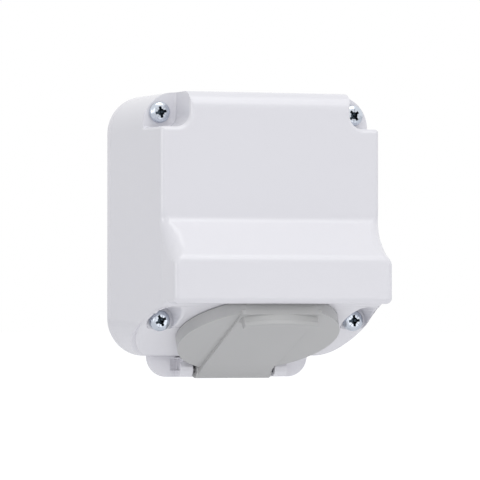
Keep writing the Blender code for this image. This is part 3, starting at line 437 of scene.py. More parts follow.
cover = {
    "wall": 2.3,
    "rim": 4.3,
    "panelDepth": 52.3,
    "hoodDepth": 67.61,
    "slopeTop": 1.5,
    "slopeFoot": -13.5,
    "lipLow": -31.0,
    "lipWall": 2.4,
    "topRound": 7.0,
    "upperKink": 4.0,
    "lowerKink": 5.0,
    "lipRound": 2.4,
    "leastRound": 0.5,     # inner corners keep at least this
    "leastLip": 0.3,
    "seatRound": 0.6,      # where the lip meets the slanted face
    "sideRound": 2.2,
    "slopeFlare": 4.2,     # widest halfway down the slope
    "flareReach": 3.0,     # how far it runs on above and below the slope
    "flareRise": 0.42,     # share of that run in which it grows
    "underFlare": 0.8,     # softer side edges of the slanted face
    "beyond": 0.03,        # the rounded edge starts this far outside the side walls
    "edgeSteps": 10,
    "kinkSteps": 12,
    "slantPieces": 28,
    "longPiece": 8.0,      # longer straight pieces are split
    "splitReach": 3.0,
    "topClear": 0.05,
    "runOut": 2.5,
    "runBehind": 6.0,
    "roomSteps": 8,
    "seatBack": 0.35,      # slanted face behind the lid's back plane
    "seatPad": 5.2,
    "insertRoom": 0.45,
    "screwFloor": 34.8,
    "floorWall": 2.5,
    "notchInner": 33.2,
    "notchLow": 37.5,
    "notchRound": 5.4,
    "notchFlare": 2.0,
    "notchCorner": 1.7,
    "notchProud": 0.08,
    "notchSteps": 14,
    "floorRound": 0.7,
    "boreRadius": 5.6,
    "boreEdge": 1.0,
    "boreSlack": 0.12,
    "boreClear": 1.5,      # edges nearer to the floor aren't the bore's mouth
    "pocketRadius": 33.05,
    "knockoutRadius": 10.0,
    "knockoutWidth": 1.0,
    "knockoutDepth": 20.0,
    "knockoutGroove": 0.8,
    "overrun": 10.0,
}
coverFar = cover["hoodDepth"] + cover["overrun"]


# Depth of the slanted face at a height.
def slantDepth(height, back):
    base = slanted @ Vector((0.0, 0.0, back))
    along = slantTurn @ Vector((0.0, 1.0, 0.0))
    return -(base.y + along.y * (height - base.z) / along.z)


# Half width that follows the lower corners, and the slope of the corner there.
def edgeHalf(depth, height):
    half = halfWidthAt(depth)
    radius = cornerRadiusAt(depth)
    cornerHeight = housing["low"] + radius
    if height >= cornerHeight:
        return half, 1.0
    drop = min(1.0, (cornerHeight - height) / radius)
    slope = math.sqrt(1.0 - drop * drop)
    return half - radius + radius * slope, slope


# Side view of the cover's front: corners with their roundings.
def frontCorners(inset):
    back = -(cover["seatBack"] + inset)
    lip = cover["lipLow"] + inset
    runOut = housing["low"] - cover["runOut"]
    panel = cover["panelDepth"] - inset
    hood = cover["hoodDepth"] - inset
    slope = math.atan2(
        cover["slopeTop"] - cover["slopeFoot"], cover["hoodDepth"] - cover["panelDepth"])
    kinkShift = inset * math.tan((math.pi / 2 - slope) / 2)
    top = housing["high"] - inset + cover["topClear"]
    behind = -cover["runBehind"]
    least = cover["leastRound"]
    return [
        ((behind, top), 0.0),
        ((panel, top), max(cover["topRound"] - inset, least)),
        ((panel, cover["slopeTop"] - kinkShift), cover["upperKink"] + inset),
        ((hood, cover["slopeFoot"] - kinkShift), max(cover["lowerKink"] - inset, least)),
        ((hood, lip), max(cover["lipRound"] - inset, cover["leastLip"])),
        ((slantDepth(lip, back), lip), cover["seatRound"]),
        ((slantDepth(runOut, back), runOut), 0.0),
        ((behind, runOut), 0.0),
    ]


# The side view as points with outward normals, its long pieces split where the edge bends.
def frontChain(inset, steps, slantPieces):
    corners = frontCorners(inset)
    places = [Vector(place) for place, radius in corners]
    chain = [(places[0], Vector((0.0, 1.0)))]
    for i in range(1, len(places) - 1):
        before = (places[i] - places[i - 1]).normalized()
        after = (places[i + 1] - places[i]).normalized()
        chain += arcAt(places[i], before, after, corners[i][1], steps)
    chain.append((places[-1], Vector((0.0, -1.0))))
    frontStart = cover["panelDepth"] - cover["splitReach"]
    dense = [chain[0]]
    for (start, startNormal), (end, endNormal) in zip(chain, chain[1:]):
        facesDown = endNormal.y < -0.5
        bends = end.x > 0.0 if facesDown else min(start.x, end.x) > frontStart
        pieces = slantPieces if bends and (end - start).length > cover["longPiece"] else 1
        for k in range(1, pieces + 1):
            normal = endNormal if k == pieces else startNormal.lerp(endNormal, k / pieces)
            dense.append((start.lerp(end, k / pieces), normal))
    return dense


# How much of the slope's extra rounding a height gets.
def flareShare(height):
    reach = cover["flareReach"]
    run = cover["slopeTop"] - cover["slopeFoot"] + 2 * reach
    down = (cover["slopeTop"] + reach - height) / run
    share = min(max(min(down, 1.0 - down) / cover["flareRise"], 0.0), 1.0)
    return share * share * (3.0 - 2.0 * share)


# The front as one wide solid whose side edges are rounded off.
def frontForm():
    chain = frontChain(0.0, cover["kinkSteps"], cover["slantPieces"])
    spread = 2 * housing["draft"][0][1]
    steps = cover["edgeSteps"]
    rings = []
    for k in range(steps + 1):
        angle = math.pi / 2 * (1.0 - k / steps)
        ring = []
        for place, normal in chain:
            slope = edgeHalf(place.x, place.y)[1]
            onSlant = place.x < cover["panelDepth"]
            under = cover["underFlare"] * max(0.0, -normal.y) if onSlant else 0.0
            radius = cover["sideRound"] + cover["slopeFlare"] * flareShare(place.y) + under
            radius = max(radius * slope, cover["seatRound"])
            inner = place - normal * (radius * (1.0 - math.cos(angle)))
            half = edgeHalf(inner.x, place.y)[0] + cover["beyond"]
            ring.append((half - radius * (1.0 - math.sin(angle)), -inner.x, inner.y))
        rings.append(ring)
    left = [[(-x, y, z) for x, y, z in ring] for ring in rings]
    outerLeft = [(-spread, y, z) for x, y, z in left[0]]
    outerRight = [(spread, y, z) for x, y, z in rings[0]]
    return pullRings([outerLeft] + left + rings[::-1] + [outerRight])


# The outline's last corner eases the edge where the notch runs out of the side wall.
def notchOutline(side, grow, depth):
    spread = 2 * housing["draft"][0][1]
    inner = cover["notchInner"] - grow
    lower = cover["notchLow"] - grow
    wall = halfWidthAt(depth) + cover["notchProud"]
    ease = cover["notchCorner"]
    foot = lower - 1.5 * ease
    corners = [(spread, spread), (inner, spread), (inner, lower), (wall, lower), (wall, foot),
               (spread, foot)]
    radii = [0.0, 0.0, cover["notchRound"] + grow, ease, 0.0, 0.0]
    return [(side * x, z) for x, z in roundedOutline(corners, radii, cover["notchSteps"])]


# A station is a depth and how much wider the notch is there.
def notchRoom(side, stations):
    return pullRings([[(x, -depth, z) for x, z in notchOutline(side, grow, depth)]
                      for depth, grow in stations])


# Corner notch, open to its side and to the top, with a rounded floor and a flared front edge.
def notchForm(side):
    near = cover["screwFloor"]
    fillet = cover["floorRound"]
    flare = cover["notchFlare"]
    flareStart = cover["panelDepth"] - flare
    stations = [(near + fillet * (1.0 - cosine), -fillet * (1.0 - sine))
                for sine, cosine in quarterTurn(4)]
    stations += [(flareStart + flare * sine, flare * (1.0 - cosine))
                 for sine, cosine in quarterTurn(8)]
    return notchRoom(side, stations + [(coverFar, flare)])


def boreForm(place):
    radius = cover["boreRadius"]
    fillet = cover["floorRound"]
    near = cover["screwFloor"]
    profile = [(0.0, near)]
    profile += [(radius - fillet * (1.0 - sine), near + fillet * (1.0 - cosine))
                for sine, cosine in quarterTurn(4)]
    profile += [(radius, coverFar), (0.0, coverFar)]
    return shift(turned(profile, 64), moved(place[0], 0.0, place[1]) @ outward)


# The room inside the cover, less the material left round notches, bores and the seat.
def coverRoom():
    wall = cover["wall"]
    overrun = cover["overrun"]
    depths = (-overrun, cover["rim"], cover["panelDepth"], cover["hoodDepth"], coverFar)
    sideView = [place for place, normal in frontChain(wall, cover["roomSteps"], 1)]
    front = pullRings([[(x, -p.x, p.y) for p in sideView] for x in (-farSide, farSide)])
    keepFrom = cover["screwFloor"] - cover["floorWall"]
    bossStart = backBox["tongueTop"] + gap
    steps = [("INTERSECT", front)]
    for x, z in screwPlaces.values():
        boss = circlePoints(housing["bossRadius"], (x, z), 32)
        steps.append(("DIFFERENCE", depthPrism(boss, bossStart, coverFar)))
        if z > 0.0:
            keep = notchRoom(math.copysign(1.0, x), [(keepFrom, wall), (coverFar, wall)])
        else:
            around = circlePoints(cover["boreRadius"] + wall, (x, z), 44)
            keep = depthPrism(around, keepFrom, coverFar)
        steps.append(("DIFFERENCE", keep))
    seatLow = -cover["seatPad"] - cover["seatBack"]
    seat = shift(rod(cover["pocketRadius"] + wall, seatLow, overrun, steps=96), slanted)
    limit = block((-farSide, -farSide, -farSide), (farSide, -bossStart, farSide))
    steps.append(("DIFFERENCE", combine(seat, ("INTERSECT", limit))))
    return combine(planForm(depths, wall, cover["roomSteps"]), *steps)


def pocketForm():
    high = 2 * cover["overrun"]
    pocket = shift(rod(cover["pocketRadius"], -cover["seatBack"], high, steps=128), slanted)
    lipInner = cover["hoodDepth"] - cover["lipWall"]
    limit = block((-farSide, -lipInner, -farSide), (farSide, farSide, farSide))
    return combine(pocket, ("INTERSECT", limit))


def flangePoints():
    angles = [math.radians(45.0 + 90.0 * k) for k in range(4)]
    radius = insert["screwCircle"]
    return [(radius * math.cos(angle), radius * math.sin(angle)) for angle in angles]


# Edges of the two lower bores' mouths.
def nearBore(edge):
    if min(-vert.co.y for vert in edge.verts) <= cover["screwFloor"] + cover["boreClear"]:
        return False
    for x, z in screwPlaces.values():
        reaches = [math.hypot(vert.co.x - x, vert.co.z - z) for vert in edge.verts]
        off = max(abs(reach - cover["boreRadius"]) for reach in reaches)
        if z < 0.0 and off < cover["boreSlack"]:
            return True
    return False


def buildFrontCover():
    depths = (cover["rim"] + gap, cover["panelDepth"], cover["hoodDepth"], coverFar)
    form = combine(planForm(depths, 0.0), ("INTERSECT", frontForm()))
    form = cutAll(form, [notchForm(math.copysign(1.0, x)) if z > 0.0 else boreForm((x, z))
                         for x, z in screwPlaces.values()])
    roundEdges(form, cover["boreEdge"], 5, nearBore, clamp=False)
    form = cutAll(form, [coverRoom(), pocketForm()])
    cuts = [depthPrism(circlePoints(housing["pilotRadius"], place, 32), cover["rim"], coverFar)
            for place in screwPlaces.values()]
    overrun = cover["overrun"]
    for key, low in (("flangeRadius", insert["gasketLow"] - gap), ("cupRadius", -2 * overrun)):
        radius = insert[key] + cover["insertRoom"]
        cuts.append(shift(rod(radius, low, overrun, steps=96), slanted))
    for point in flangePoints():
        screwRoom = rod(insert["screwHole"], insert["screwRoomLow"], overrun / 2, point, 24)
        cuts.append(shift(screwRoom, slanted))
    inner = cover["knockoutRadius"]
    outer = inner + cover["knockoutWidth"]
    tall = overrun / 2
    ring = turned([(inner, 0.0), (outer, 0.0), (outer, tall), (inner, tall)], 64)
    grooveFloor = housing["high"] - cover["knockoutGroove"]
    cuts.append(shift(ring, moved(0.0, -cover["knockoutDepth"], grooveFloor)))
    makePiece("front_cover", cutAll(form, cuts), "cool_white_plastic")


backBox = {
    "wall": 2.5,
    "rim": 4.3,
    "rimWidth": 5.2,
    "rimEdge": 0.35,
    "trayTop": 14.0,
    "tongueInset": 3.2,
    "tongueWall": 1.7,
    "tongueTop": 9.9,
    "tongueEdge": 0.3,
    "grooveInset": 1.0,
    "grooveWidth": 1.8,
    "grooveFloor": 2.9,
    "grooveTop": 12.0,
    "gasketEdge": 0.25,
    "pilotFloor": 2.3,
    "postRoom": 5.0,
    "pinHoleEnd": 30.0,
    "apronHalf": 33.8,
    "apronLow": -59.8,
    "apronOverlap": 2.6,
    "apronRound": 8.3,
    "apronEdge": 0.45,
    "earRadius": 2.9,
    "earShoulder": 1.2,
    "earSlope": 2.6,
    "earTop": -52.0,
    "earBend": 1.2,
    "earFoot": 0.72,
    "earEdge": 0.25,
    "flankDepth": 1.5,
    "flankReach": 1.9,
    "flankWall": 1.3,
    "flankLow": -57.2,
    "flankHigh": -52.6,
    "flankEdge": 0.5,
    "entryRadius": 10.5,
    "entryHeight": 27.0,
    "fixings": ((30.0, -22.0, 4.5, 2.4), (30.0, 26.0, 2.4, 4.5)),  # x, z, half across, half up
    "fixingRound": 2.35,
    "through": (-5.0, 8.0),       # depths that cut right through the back
}


def earForm(side):
    nose = -pinPlace.y + backBox["earRadius"]
    back = backBox["wall"] * 0.5
    low = pinPlace.z - backBox["earRadius"]
    corners = [
        (back, backBox["earTop"]), (back, low), (nose, low),
        (nose, pinPlace.z + backBox["earShoulder"]),
        (nose - backBox["earSlope"], backBox["earTop"]),
    ]
    radii = [0.0, 0.0, backBox["earRadius"], backBox["earBend"], backBox["earFoot"]]
    outline = roundedOutline(corners, radii, 12)
    sides = sorted((side * hinge["earInner"], side * hinge["earOuter"]))
    ear = pullRings([[(x, -depth, z) for depth, z in outline] for x in sides])
    middle = (hinge["earInner"] + hinge["earOuter"]) / 2
    reach = (hinge["earOuter"] - hinge["earInner"]) / 2 - 0.15
    return roundEdges(ear, backBox["earEdge"], 3, lambda edge: all(
        abs(abs(vert.co.x) - middle) > reach for vert in edge.verts), 60.0)


def frameForm(outer, inner, near, far):
    return cutAll(depthPrism(outer, near, far), [depthPrism(inner, near - past, far + past)])


# Rounded apron below the rim, its front edge eased.
def apronForm():
    low = backBox["apronLow"]
    high = housing["low"] + backBox["apronOverlap"]
    half = backBox["apronHalf"]
    corners = [(-half, low), (half, low), (half, high), (-half, high)]
    outline = roundedOutline(corners, [backBox["apronRound"]] * 2 + [0.0, 0.0], 16)
    apron = depthPrism(outline, 0.0, backBox["wall"])
    return roundEdges(apron, backBox["apronEdge"], 4, outFrom(1.0))


# Small window in the flank, outside the left ear.
def windowForm():
    side = -hinge["earOuter"]
    front = -pinPlace.y + backBox["earRadius"] - backBox["flankWall"]
    low = (side - backBox["flankReach"], -front, backBox["flankLow"])
    high = (side + backBox["flankDepth"], -backBox["wall"] * 0.5, backBox["flankHigh"])
    return roundEdges(block(low, high), backBox["flankEdge"], 4, None, 60.0)


def fixingSlots():
    slots = []
    for x, z, wide, tall in backBox["fixings"]:
        for middle in (-x, x):
            corners = [(middle - wide, z - tall), (middle + wide, z - tall),
                       (middle + wide, z + tall), (middle - wide, z + tall)]
            outline = roundedOutline(corners, [backBox["fixingRound"]] * 4, 10)
            slots.append(depthPrism(outline, *backBox["through"]))
    return slots


def buildBackBox():
    wall = backBox["wall"]
    top = backBox["tongueTop"]
    inset = backBox["tongueInset"]
    cutTop = top + backBox["postRoom"]
    rim = depthPrism(planOutline(0.0, 0.0), 0.0, backBox["rim"])
    form = joinAll(roundEdges(rim, backBox["rimEdge"], 3), [apronForm()])
    tray = depthPrism(planOutline(0.0, backBox["rimWidth"]), wall, backBox["trayTop"])
    form = cutAll(form, [tray])
    inner = planOutline(0.0, inset + backBox["tongueWall"])
    tongue = frameForm(planOutline(0.0, inset), inner, wall * 0.5, top)
    steps = [("UNION", roundEdges(tongue, backBox["tongueEdge"], 2, outFrom(top - 0.1)))]
    limit = planOutline(0.0, inset + backBox["tongueWall"] * 0.5)
    for place in screwPlaces.values():
        post = depthPrism(circlePoints(housing["bossRadius"], place, 40), wall * 0.5, top - gap)
        steps.append(("UNION", combine(post, ("INTERSECT", depthPrism(limit, 0.0, cutTop)))))
        pilot = circlePoints(housing["pilotRadius"], place, 32)
        steps.append(("DIFFERENCE", depthPrism(pilot, backBox["pilotFloor"], cutTop)))
    steps += [("UNION", earForm(-1.0)), ("UNION", earForm(1.0))]
    blindEnd = -hinge["earOuter"] + hinge["blindWall"]
    hole = rod(hinge["pinRadius"] + gap, blindEnd, backBox["pinHoleEnd"], steps=40)
    entry = circlePoints(backBox["entryRadius"], (0.0, backBox["entryHeight"]), 72)
    grooveInset = backBox["grooveInset"]
    inner = planOutline(0.0, grooveInset + backBox["grooveWidth"])
    groove = frameForm(
        planOutline(0.0, grooveInset), inner, backBox["grooveFloor"], backBox["grooveTop"])
    tools = [shift(hole, across), windowForm(), *fixingSlots(),
             depthPrism(entry, *backBox["through"]), groove]
    steps += [("DIFFERENCE", tool) for tool in tools]
    makePiece("back_box", combine(form, *steps), "cool_white_plastic")


def buildCoverGasket():
    inset = backBox["grooveInset"] + gap
    width = backBox["grooveWidth"] - 2 * gap
    ring = frameForm(planOutline(0.0, inset), planOutline(0.0, inset + width),
                     backBox["grooveFloor"] + gap, backBox["rim"])
    roundEdges(ring, backBox["gasketEdge"], 3, None, 60.0)
    makePiece("cover_gasket", ring, "black_rubber")


grommet = {
    "lip": 2.4,
    "rise": 1.1,
    "back": 2.1,
    "foot": 0.2,
    "edge": 0.18,
}


def buildGrommet():
    body = backBox["entryRadius"] - gap
    lip = body + grommet["lip"]
    high = backBox["wall"] + gap
    middle = high + grommet["rise"]
    back = grommet["back"]
    foot = grommet["foot"]
    # Thin middle, a groove round it, the body, the lip outside and the funnel inside.
    profile = [
        (0.0, middle), (1.8, middle), (2.8, back), (body - 3.2, back), (body - 2.6, foot),
        (body - 1.5, foot), (body, 0.9), (body, high), (lip, high), (lip - 0.5, high + 1.4),
        (body - 1.6, high + 1.6), (body - 2.6, high + 0.2), (3.6, high + 0.2), (2.6, high + 2.0),
        (0.0, high + 2.0),
    ]
    form = roundEdges(turned(profile, 96), grommet["edge"], 3, None, 25.0)
    place = moved(z=backBox["entryHeight"]) @ outward
    makePiece("cable_grommet", form, "black_rubber", place=place)


coverScrew = {
    "headRadius": 4.1,
    "headHeight": 2.6,
    "headEdge": 0.25,
    "domeStart": 0.42,      # share of the head's height
    "domeFlat": 0.55,       # share of the head's radius
    "shank": 1.75,
    "point": 1.6,
    "cross": (2.75, 0.62, 2.2),      # reach, half width and depth
    "markReach": 0.8,
    "markHalf": 0.09,
    "markDepth": 0.22,
    "turns": (12.0, 40.0, 25.0, 5.0),
}
crossTaper = (0.62, 0.7)      # the arms' foot, along and across


# Cross recess with tapered arms and a deeper middle.
def crossForm(reach, half, depth, top):
    arms = []
    for quarter in (0.0, math.pi / 2):
        arm = block((-reach, -half, top - depth), (reach, half, top + 2 * past))
        for vert in arm.verts:
            if vert.co.z < top:
                vert.co.x *= crossTaper[0]
                vert.co.y *= crossTaper[1]
        arms.append(shift(arm, spunBy(quarter, "Z")))
    middle = bmesh.new()
    bmesh.ops.create_cone(middle, cap_ends=True, segments=24, radius1=half * 0.9,
                          radius2=half * 2.6, depth=depth + 1.2)
    arms.append(shift(middle, moved(z=top - depth * 0.5 + 0.1)))
    return joinAll(arms[0], arms[1:])


# Which faces of a screw's cross recess get the painted shade.
recessShade = {
    "around": 0.05,      # beyond the ends of the arms
    "below": 0.7,        # beyond their depth, for the deeper middle
    "rim": 0.02,         # unshaded edge at the top
    "steep": 0.72,       # a face that looks up more than this gets no painted shade
    "floor": 0.8,        # share of the depth below which every face gets the painted shade
    "outward": 0.3,      # a face that looks away from the middle gets no painted shade
}


# Painted shade: the recess's inner faces take the second material, a dark zinc that stands in for
# the shade inside the cross.
def paintRecessShade(maker, reach, depth, top):
    for face in maker.faces:
        middle = face.calc_center_median()
        level = top - middle.z
        inside = middle.xy.length < reach + recessShade["around"]
        inside = inside and recessShade["rim"] < level < depth + recessShade["below"]
        facing = face.normal.z < recessShade["steep"] or level > recessShade["floor"] * depth
        outward = face.normal.dot(Vector((middle.x, middle.y, 0.0)))
        if inside and facing and outward < recessShade["outward"]:
            face.material_index = 1


def buildCoverScrews():
    radius = coverScrew["headRadius"]
    height = coverScrew["headHeight"]
    shank = coverScrew["shank"]
    edge = coverScrew["headEdge"]
    flat = coverScrew["domeFlat"]
    reach, half, depth = coverScrew["cross"]
    markHalf = coverScrew["markHalf"]
    markReach = radius * coverScrew["markReach"]
    for (name, (x, z)), degrees in zip(screwPlaces.items(), coverScrew["turns"]):
        low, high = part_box(name)
        top = -low.y / mm
        tip = -high.y / mm
        seat = top - height
        profile = [(0.0, tip), (shank * 0.6, tip), (shank, tip + coverScrew["point"]),
                   (shank, seat), (radius - edge, seat), (radius, seat + edge)]
        start = seat + height * coverScrew["domeStart"]
        profile += [(radius * (flat + (1.0 - flat) * cosine), start + (top - start) * sine)
                    for sine, cosine in quarterTurn(10)]
        profile.append((0.0, top))
        # Four fine marks stand between the arms of the cross.
        marks = []
        for k in range(2):
            mark = block((-markReach, -markHalf, top - coverScrew["markDepth"]),
                         (markReach, markHalf, top + past))
            marks.append(shift(mark, spunBy(math.pi / 4 + math.pi / 2 * k, "Z")))
        form = cutAll(turned(profile, 72), [crossForm(reach, half, depth, top)] + marks)
        paintRecessShade(form, reach, depth, top)
        place = moved(x, 0.0, z) @ outward @ spunBy(math.radians(degrees), "Z")
        screw = makePiece(name, form, "zinc_plated_steel", place=place)
        # The second material is the painted shade inside the recess.
        screw.data.materials.append(looks["zinc_recess_shade"])


# Socket insert, under the lid
insert = {
    "recessRadius": 19.5,
    "collarRadius": 22.6,
    "collarTop": 1.6,
    "cupRadius": 21.8,
    "cupEdge": 0.35,
    "floor": -15.9,
    "back": -18.4,
    "flangeRadius": 28.5,
    "flangeTop": -0.3,
    "flangeLow": -1.9,
    "gasketLow": -2.9,
    "gasketTop": -2.2,
    "gasketRoom": 0.8,
    "gasketEdge": 0.15,
    "screwCircle": 25.5,
    "screwHole": 1.5,
    "screwRoomLow": -6.3,
    "holeSpacing": 19.0,
    "holeRadius": 2.7,
    "holeEase": 0.5,
    "ribHalf": 2.4,
    "ribRise": 2.3,
    "ribTop": -1.6,
    "ribEdge": 0.4,
    "clipHalf": 3.6,
    "clipReach": 19.2,
    "clipRoom": 1.3,
    "clipInset": 2.0,
    "clipTop": 3.0,
    "sink": 1.4,
    "headEdge": 0.2,
    "point": 1.0,
    "flangeScrew": {"radius": 1.2, "head": 2.3, "length": 5.4, "cross": (1.6, 0.32, 0.9)},
    "flangeTurn": 0.3,       # each flange screw is turned this much further, radians
    "centreScrew": {"radius": 1.75, "head": 3.2, "length": 10.8, "cross": (2.1, 0.42, 1.2)},
    "centreTurn": 0.4,
}
centreTop = insert["floor"] - insert["headEdge"]


# Room for a countersunk screw whose head ends at the top.
def sunkSeat(screw, top, low, steps):
    shank = screw["radius"] + gap
    head = screw["head"] + gap
    return turned([
        (0.0, low), (shank, low), (shank, top - insert["sink"] - gap / 2),
        (head, top - insert["headEdge"] - gap / 2), (head, top + past), (0.0, top + past),
    ], steps)


def buildSocketCup():
    inner = insert["recessRadius"]
    collar = insert["collarRadius"]
    cup = insert["cupRadius"]
    flange = insert["flangeRadius"]
    top = insert["collarTop"]
    back = insert["back"]
    floor = insert["floor"]
    profile = [
        (0.0, back), (cup, back), (cup, insert["flangeLow"]), (flange, insert["flangeLow"]),
        (flange, insert["flangeTop"]), (collar, insert["flangeTop"]), (collar, top),
        (inner, top), (inner, floor), (0.0, floor),
    ]
    form = roundEdges(turned(profile, 128), insert["cupEdge"], 4, None, 60.0)
    hole = insert["holeRadius"]
    mouth = hole + insert["holeEase"]
    steps = []
    for side in (-1.0, 1.0):
        low, high = sorted((side * (inner - insert["ribRise"]), side * (inner + past)))
        half = insert["ribHalf"]
        rib = block((low, -half, floor - past), (high, half, insert["ribTop"]))
        steps.append(("UNION", roundEdges(rib, insert["ribEdge"], 3, None, 60.0)))
        funnel = turned([
            (0.0, back - past), (hole, back - past), (hole, floor - insert["holeEase"]),
            (mouth, floor), (mouth, floor + past), (0.0, floor + past),
        ], 48)
        steps.append(("DIFFERENCE", shift(funnel, moved(side * insert["holeSpacing"] / 2))))
        clipEnd = insert["clipReach"] + insert["clipRoom"]
        near, far = sorted((side * (inner - insert["clipInset"]), side * clipEnd))
        half = insert["clipHalf"]
        groove = block((-half, near, back - past), (half, far, insert["clipTop"]))
        steps.append(("DIFFERENCE", groove))
    steps.append(("DIFFERENCE", sunkSeat(insert["centreScrew"], centreTop, back - past, 48)))
    for x, y in flangePoints():
        sink = sunkSeat(insert["flangeScrew"], insert["flangeTop"], insert["flangeLow"] - past, 36)
        steps.append(("DIFFERENCE", shift(sink, moved(x, y))))
    makePiece("socket_cup", combine(form, *steps), "grey_plastic", place=slanted)


def buildFlangeGasket():
    low = insert["gasketLow"]
    high = insert["gasketTop"]
    inner = insert["cupRadius"] + insert["gasketRoom"]
    outer = insert["flangeRadius"]
    ring = turned([(inner, low), (outer, low), (outer, high), (inner, high)], 96)
    roundEdges(ring, insert["gasketEdge"], 2, None, 60.0)
    holes = [rod(insert["screwHole"], low - past, high + past, point, 24)
             for point in flangePoints()]
    makePiece("flange_gasket", cutAll(ring, holes), "black_rubber", place=slanted)


def sunkScrew(name, screw, top, turnAngle, spot):
    low = top - screw["length"]
    radius = screw["radius"]
    head = screw["head"]
    profile = [
        (0.0, low), (radius * 0.55, low), (radius, low + insert["point"]),
        (radius, top - insert["sink"]),
        (head, top - insert["headEdge"]), (head - 0.05, top), (0.0, top),
    ]
    form = cutAll(turned(profile, 48), [crossForm(*screw["cross"], top)])
    place = slanted @ moved(*spot) @ spunBy(turnAngle, "Z")
    makePiece(name, form, "zinc_plated_steel", place=place)


def buildInsertScrews():
    for i, point in enumerate(flangePoints()):
        name = "flange_screw_%d" % (i + 1)
        turnedBy = insert["flangeTurn"] * i
        sunkScrew(name, insert["flangeScrew"], insert["flangeTop"], turnedBy, point)
    sunkScrew("centre_screw", insert["centreScrew"], centreTop, insert["centreTurn"], (0.0, 0.0))


# Inner pieces keep their shape: a copy is merged, its flat faces made whole and its edges eased.
innerCopies = {
    "contact_carrier": ("dark_thermoset", 0.25),
    "live_contact": ("brass", 0.08),
    "neutral_contact": ("brass", 0.08),
    "earth_strap": ("brass", 0.08),
    "live_terminal_screw": ("zinc_plated_steel", 0.08),
    "neutral_terminal_screw": ("zinc_plated_steel", 0.08),
    "earth_terminal_screw": ("zinc_plated_steel", 0.08),
}


def buildInnerCopies():
    for node, (look, ease) in innerCopies.items():
        maker = bmesh.new()
        maker.from_mesh(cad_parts[node].data)
        bmesh.ops.scale(maker, vec=(1 / mm, 1 / mm, 1 / mm), verts=maker.verts)
        bmesh.ops.remove_doubles(maker, verts=maker.verts, dist=mergeWithin["copy"])
        bmesh.ops.dissolve_limit(
            maker, angle_limit=math.radians(0.5), verts=maker.verts, edges=maker.edges)
        makePiece(node, roundEdges(maker, ease, 2, None, 50.0), look)


# Lid
lid = {
    "radius": 32.05,
    "front": 28.6,
    "height": 4.8,
    "skin": 1.6,
    "rimWall": 1.9,
    "edgeRound": 0.9,
    "frontCorner": 1.2,
    "bandFront": 16.4,
    "bandRear": 15.2,
    "bandTop": 5.85,
    "bandMiddle": 6.1,
    "bandBend": -22.0,
    "bandLean": 0.35,
    "bandEdge": 0.3,
    "bandSink": 0.8,         # into the disc
    "knuckleRadius": 3.5,
    "knuckleHalf": 15.8,
    "knuckleEdge": 0.3,
    "pinHole": 1.35,
    "tabHalf": 15.2,
    "tabAxis": -26.55,       # middle of the tab's wide arc; its radius is the front wall
    "tabRadius": 55.0,
    "tabThick": 2.6,
    "tabTop": 10.1,
    "tabBead": (8.05, 0.32),          # where the bead starts, how far it stands out
    "tabFoot": 4.2,
    "tabEdge": 0.3,
    "bayHalf": 4.6,
    "bayRadius": 2.3,
    "bayLength": 5.5,
    "bayLow": -6.0,
    "sealInner": 19.4,
    "sealOuter": 23.0,
    "sealEdge": 0.2,
    "sealSag": 0.3,
    "ribWidth": 0.8,
    "ribDrop": 0.8,
    "ribRoot": 0.4,
}
atPin = moved(0.0, -hinge["reach"], hinge["height"])      # in the lid's own frame


# Disc with a straight front end, its two front corners eased.
def lidDisc(inset, low, high):
    maker = bmesh.new()
    bmesh.ops.create_circle(maker, cap_ends=True, segments=160, radius=lid["radius"] - inset)
    front = lid["front"] - inset
    bmesh.ops.bisect_plane(
        maker, geom=maker.verts[:] + maker.edges[:] + maker.faces[:], plane_co=(0.0, front, 0.0),
        plane_no=(0.0, 1.0, 0.0), clear_outer=True)
    corners = [v for v in maker.verts if abs(v.co.y - front) < 1e-4]
    bmesh.ops.bevel(maker, geom=corners, offset=lid["frontCorner"], segments=4, profile=0.5,
                    affect="VERTICES", material=-1)
    bmesh.ops.translate(maker, vec=(0.0, 0.0, low), verts=maker.verts)
    pulled = bmesh.ops.extrude_face_region(maker, geom=maker.faces[:])["geom"]
    raised = [v for v in pulled if isinstance(v, bmesh.types.BMVert)]
    bmesh.ops.translate(maker, vec=(0.0, 0.0, high - low), verts=raised)
    bmesh.ops.recalc_face_normals(maker, faces=maker.faces)
    return maker


# Raised band from the front end to the knuckle, a section at each station.
def bandForm():
    front = lid["front"] - 0.1
    rear = -hinge["reach"]
    bend = lid["bandBend"]
    middle = lid["bandMiddle"]
    low = lid["height"] - lid["bandSink"]
    rise = hinge["height"] + lid["knuckleRadius"] - middle
    stations = [(front, lid["bandTop"]), (bend, middle)]
    for k in range(1, 9):
        share = k / 8
        stations.append((bend + (rear - bend) * share, middle + rise * share ** 2))
    lean = lid["bandLean"]
    narrowing = lid["bandRear"] - lid["bandFront"]
    rings = []
    for y, top in stations:
        half = lid["bandFront"] + narrowing * (front - y) / (front - rear)
        rings.append([(-half, y, low), (half, y, low), (half - lean, y, top),
                      (-half + lean, y, top)])
    return roundEdges(pullRings(rings), lid["bandEdge"], 3, above(lid["height"] + 0.5))


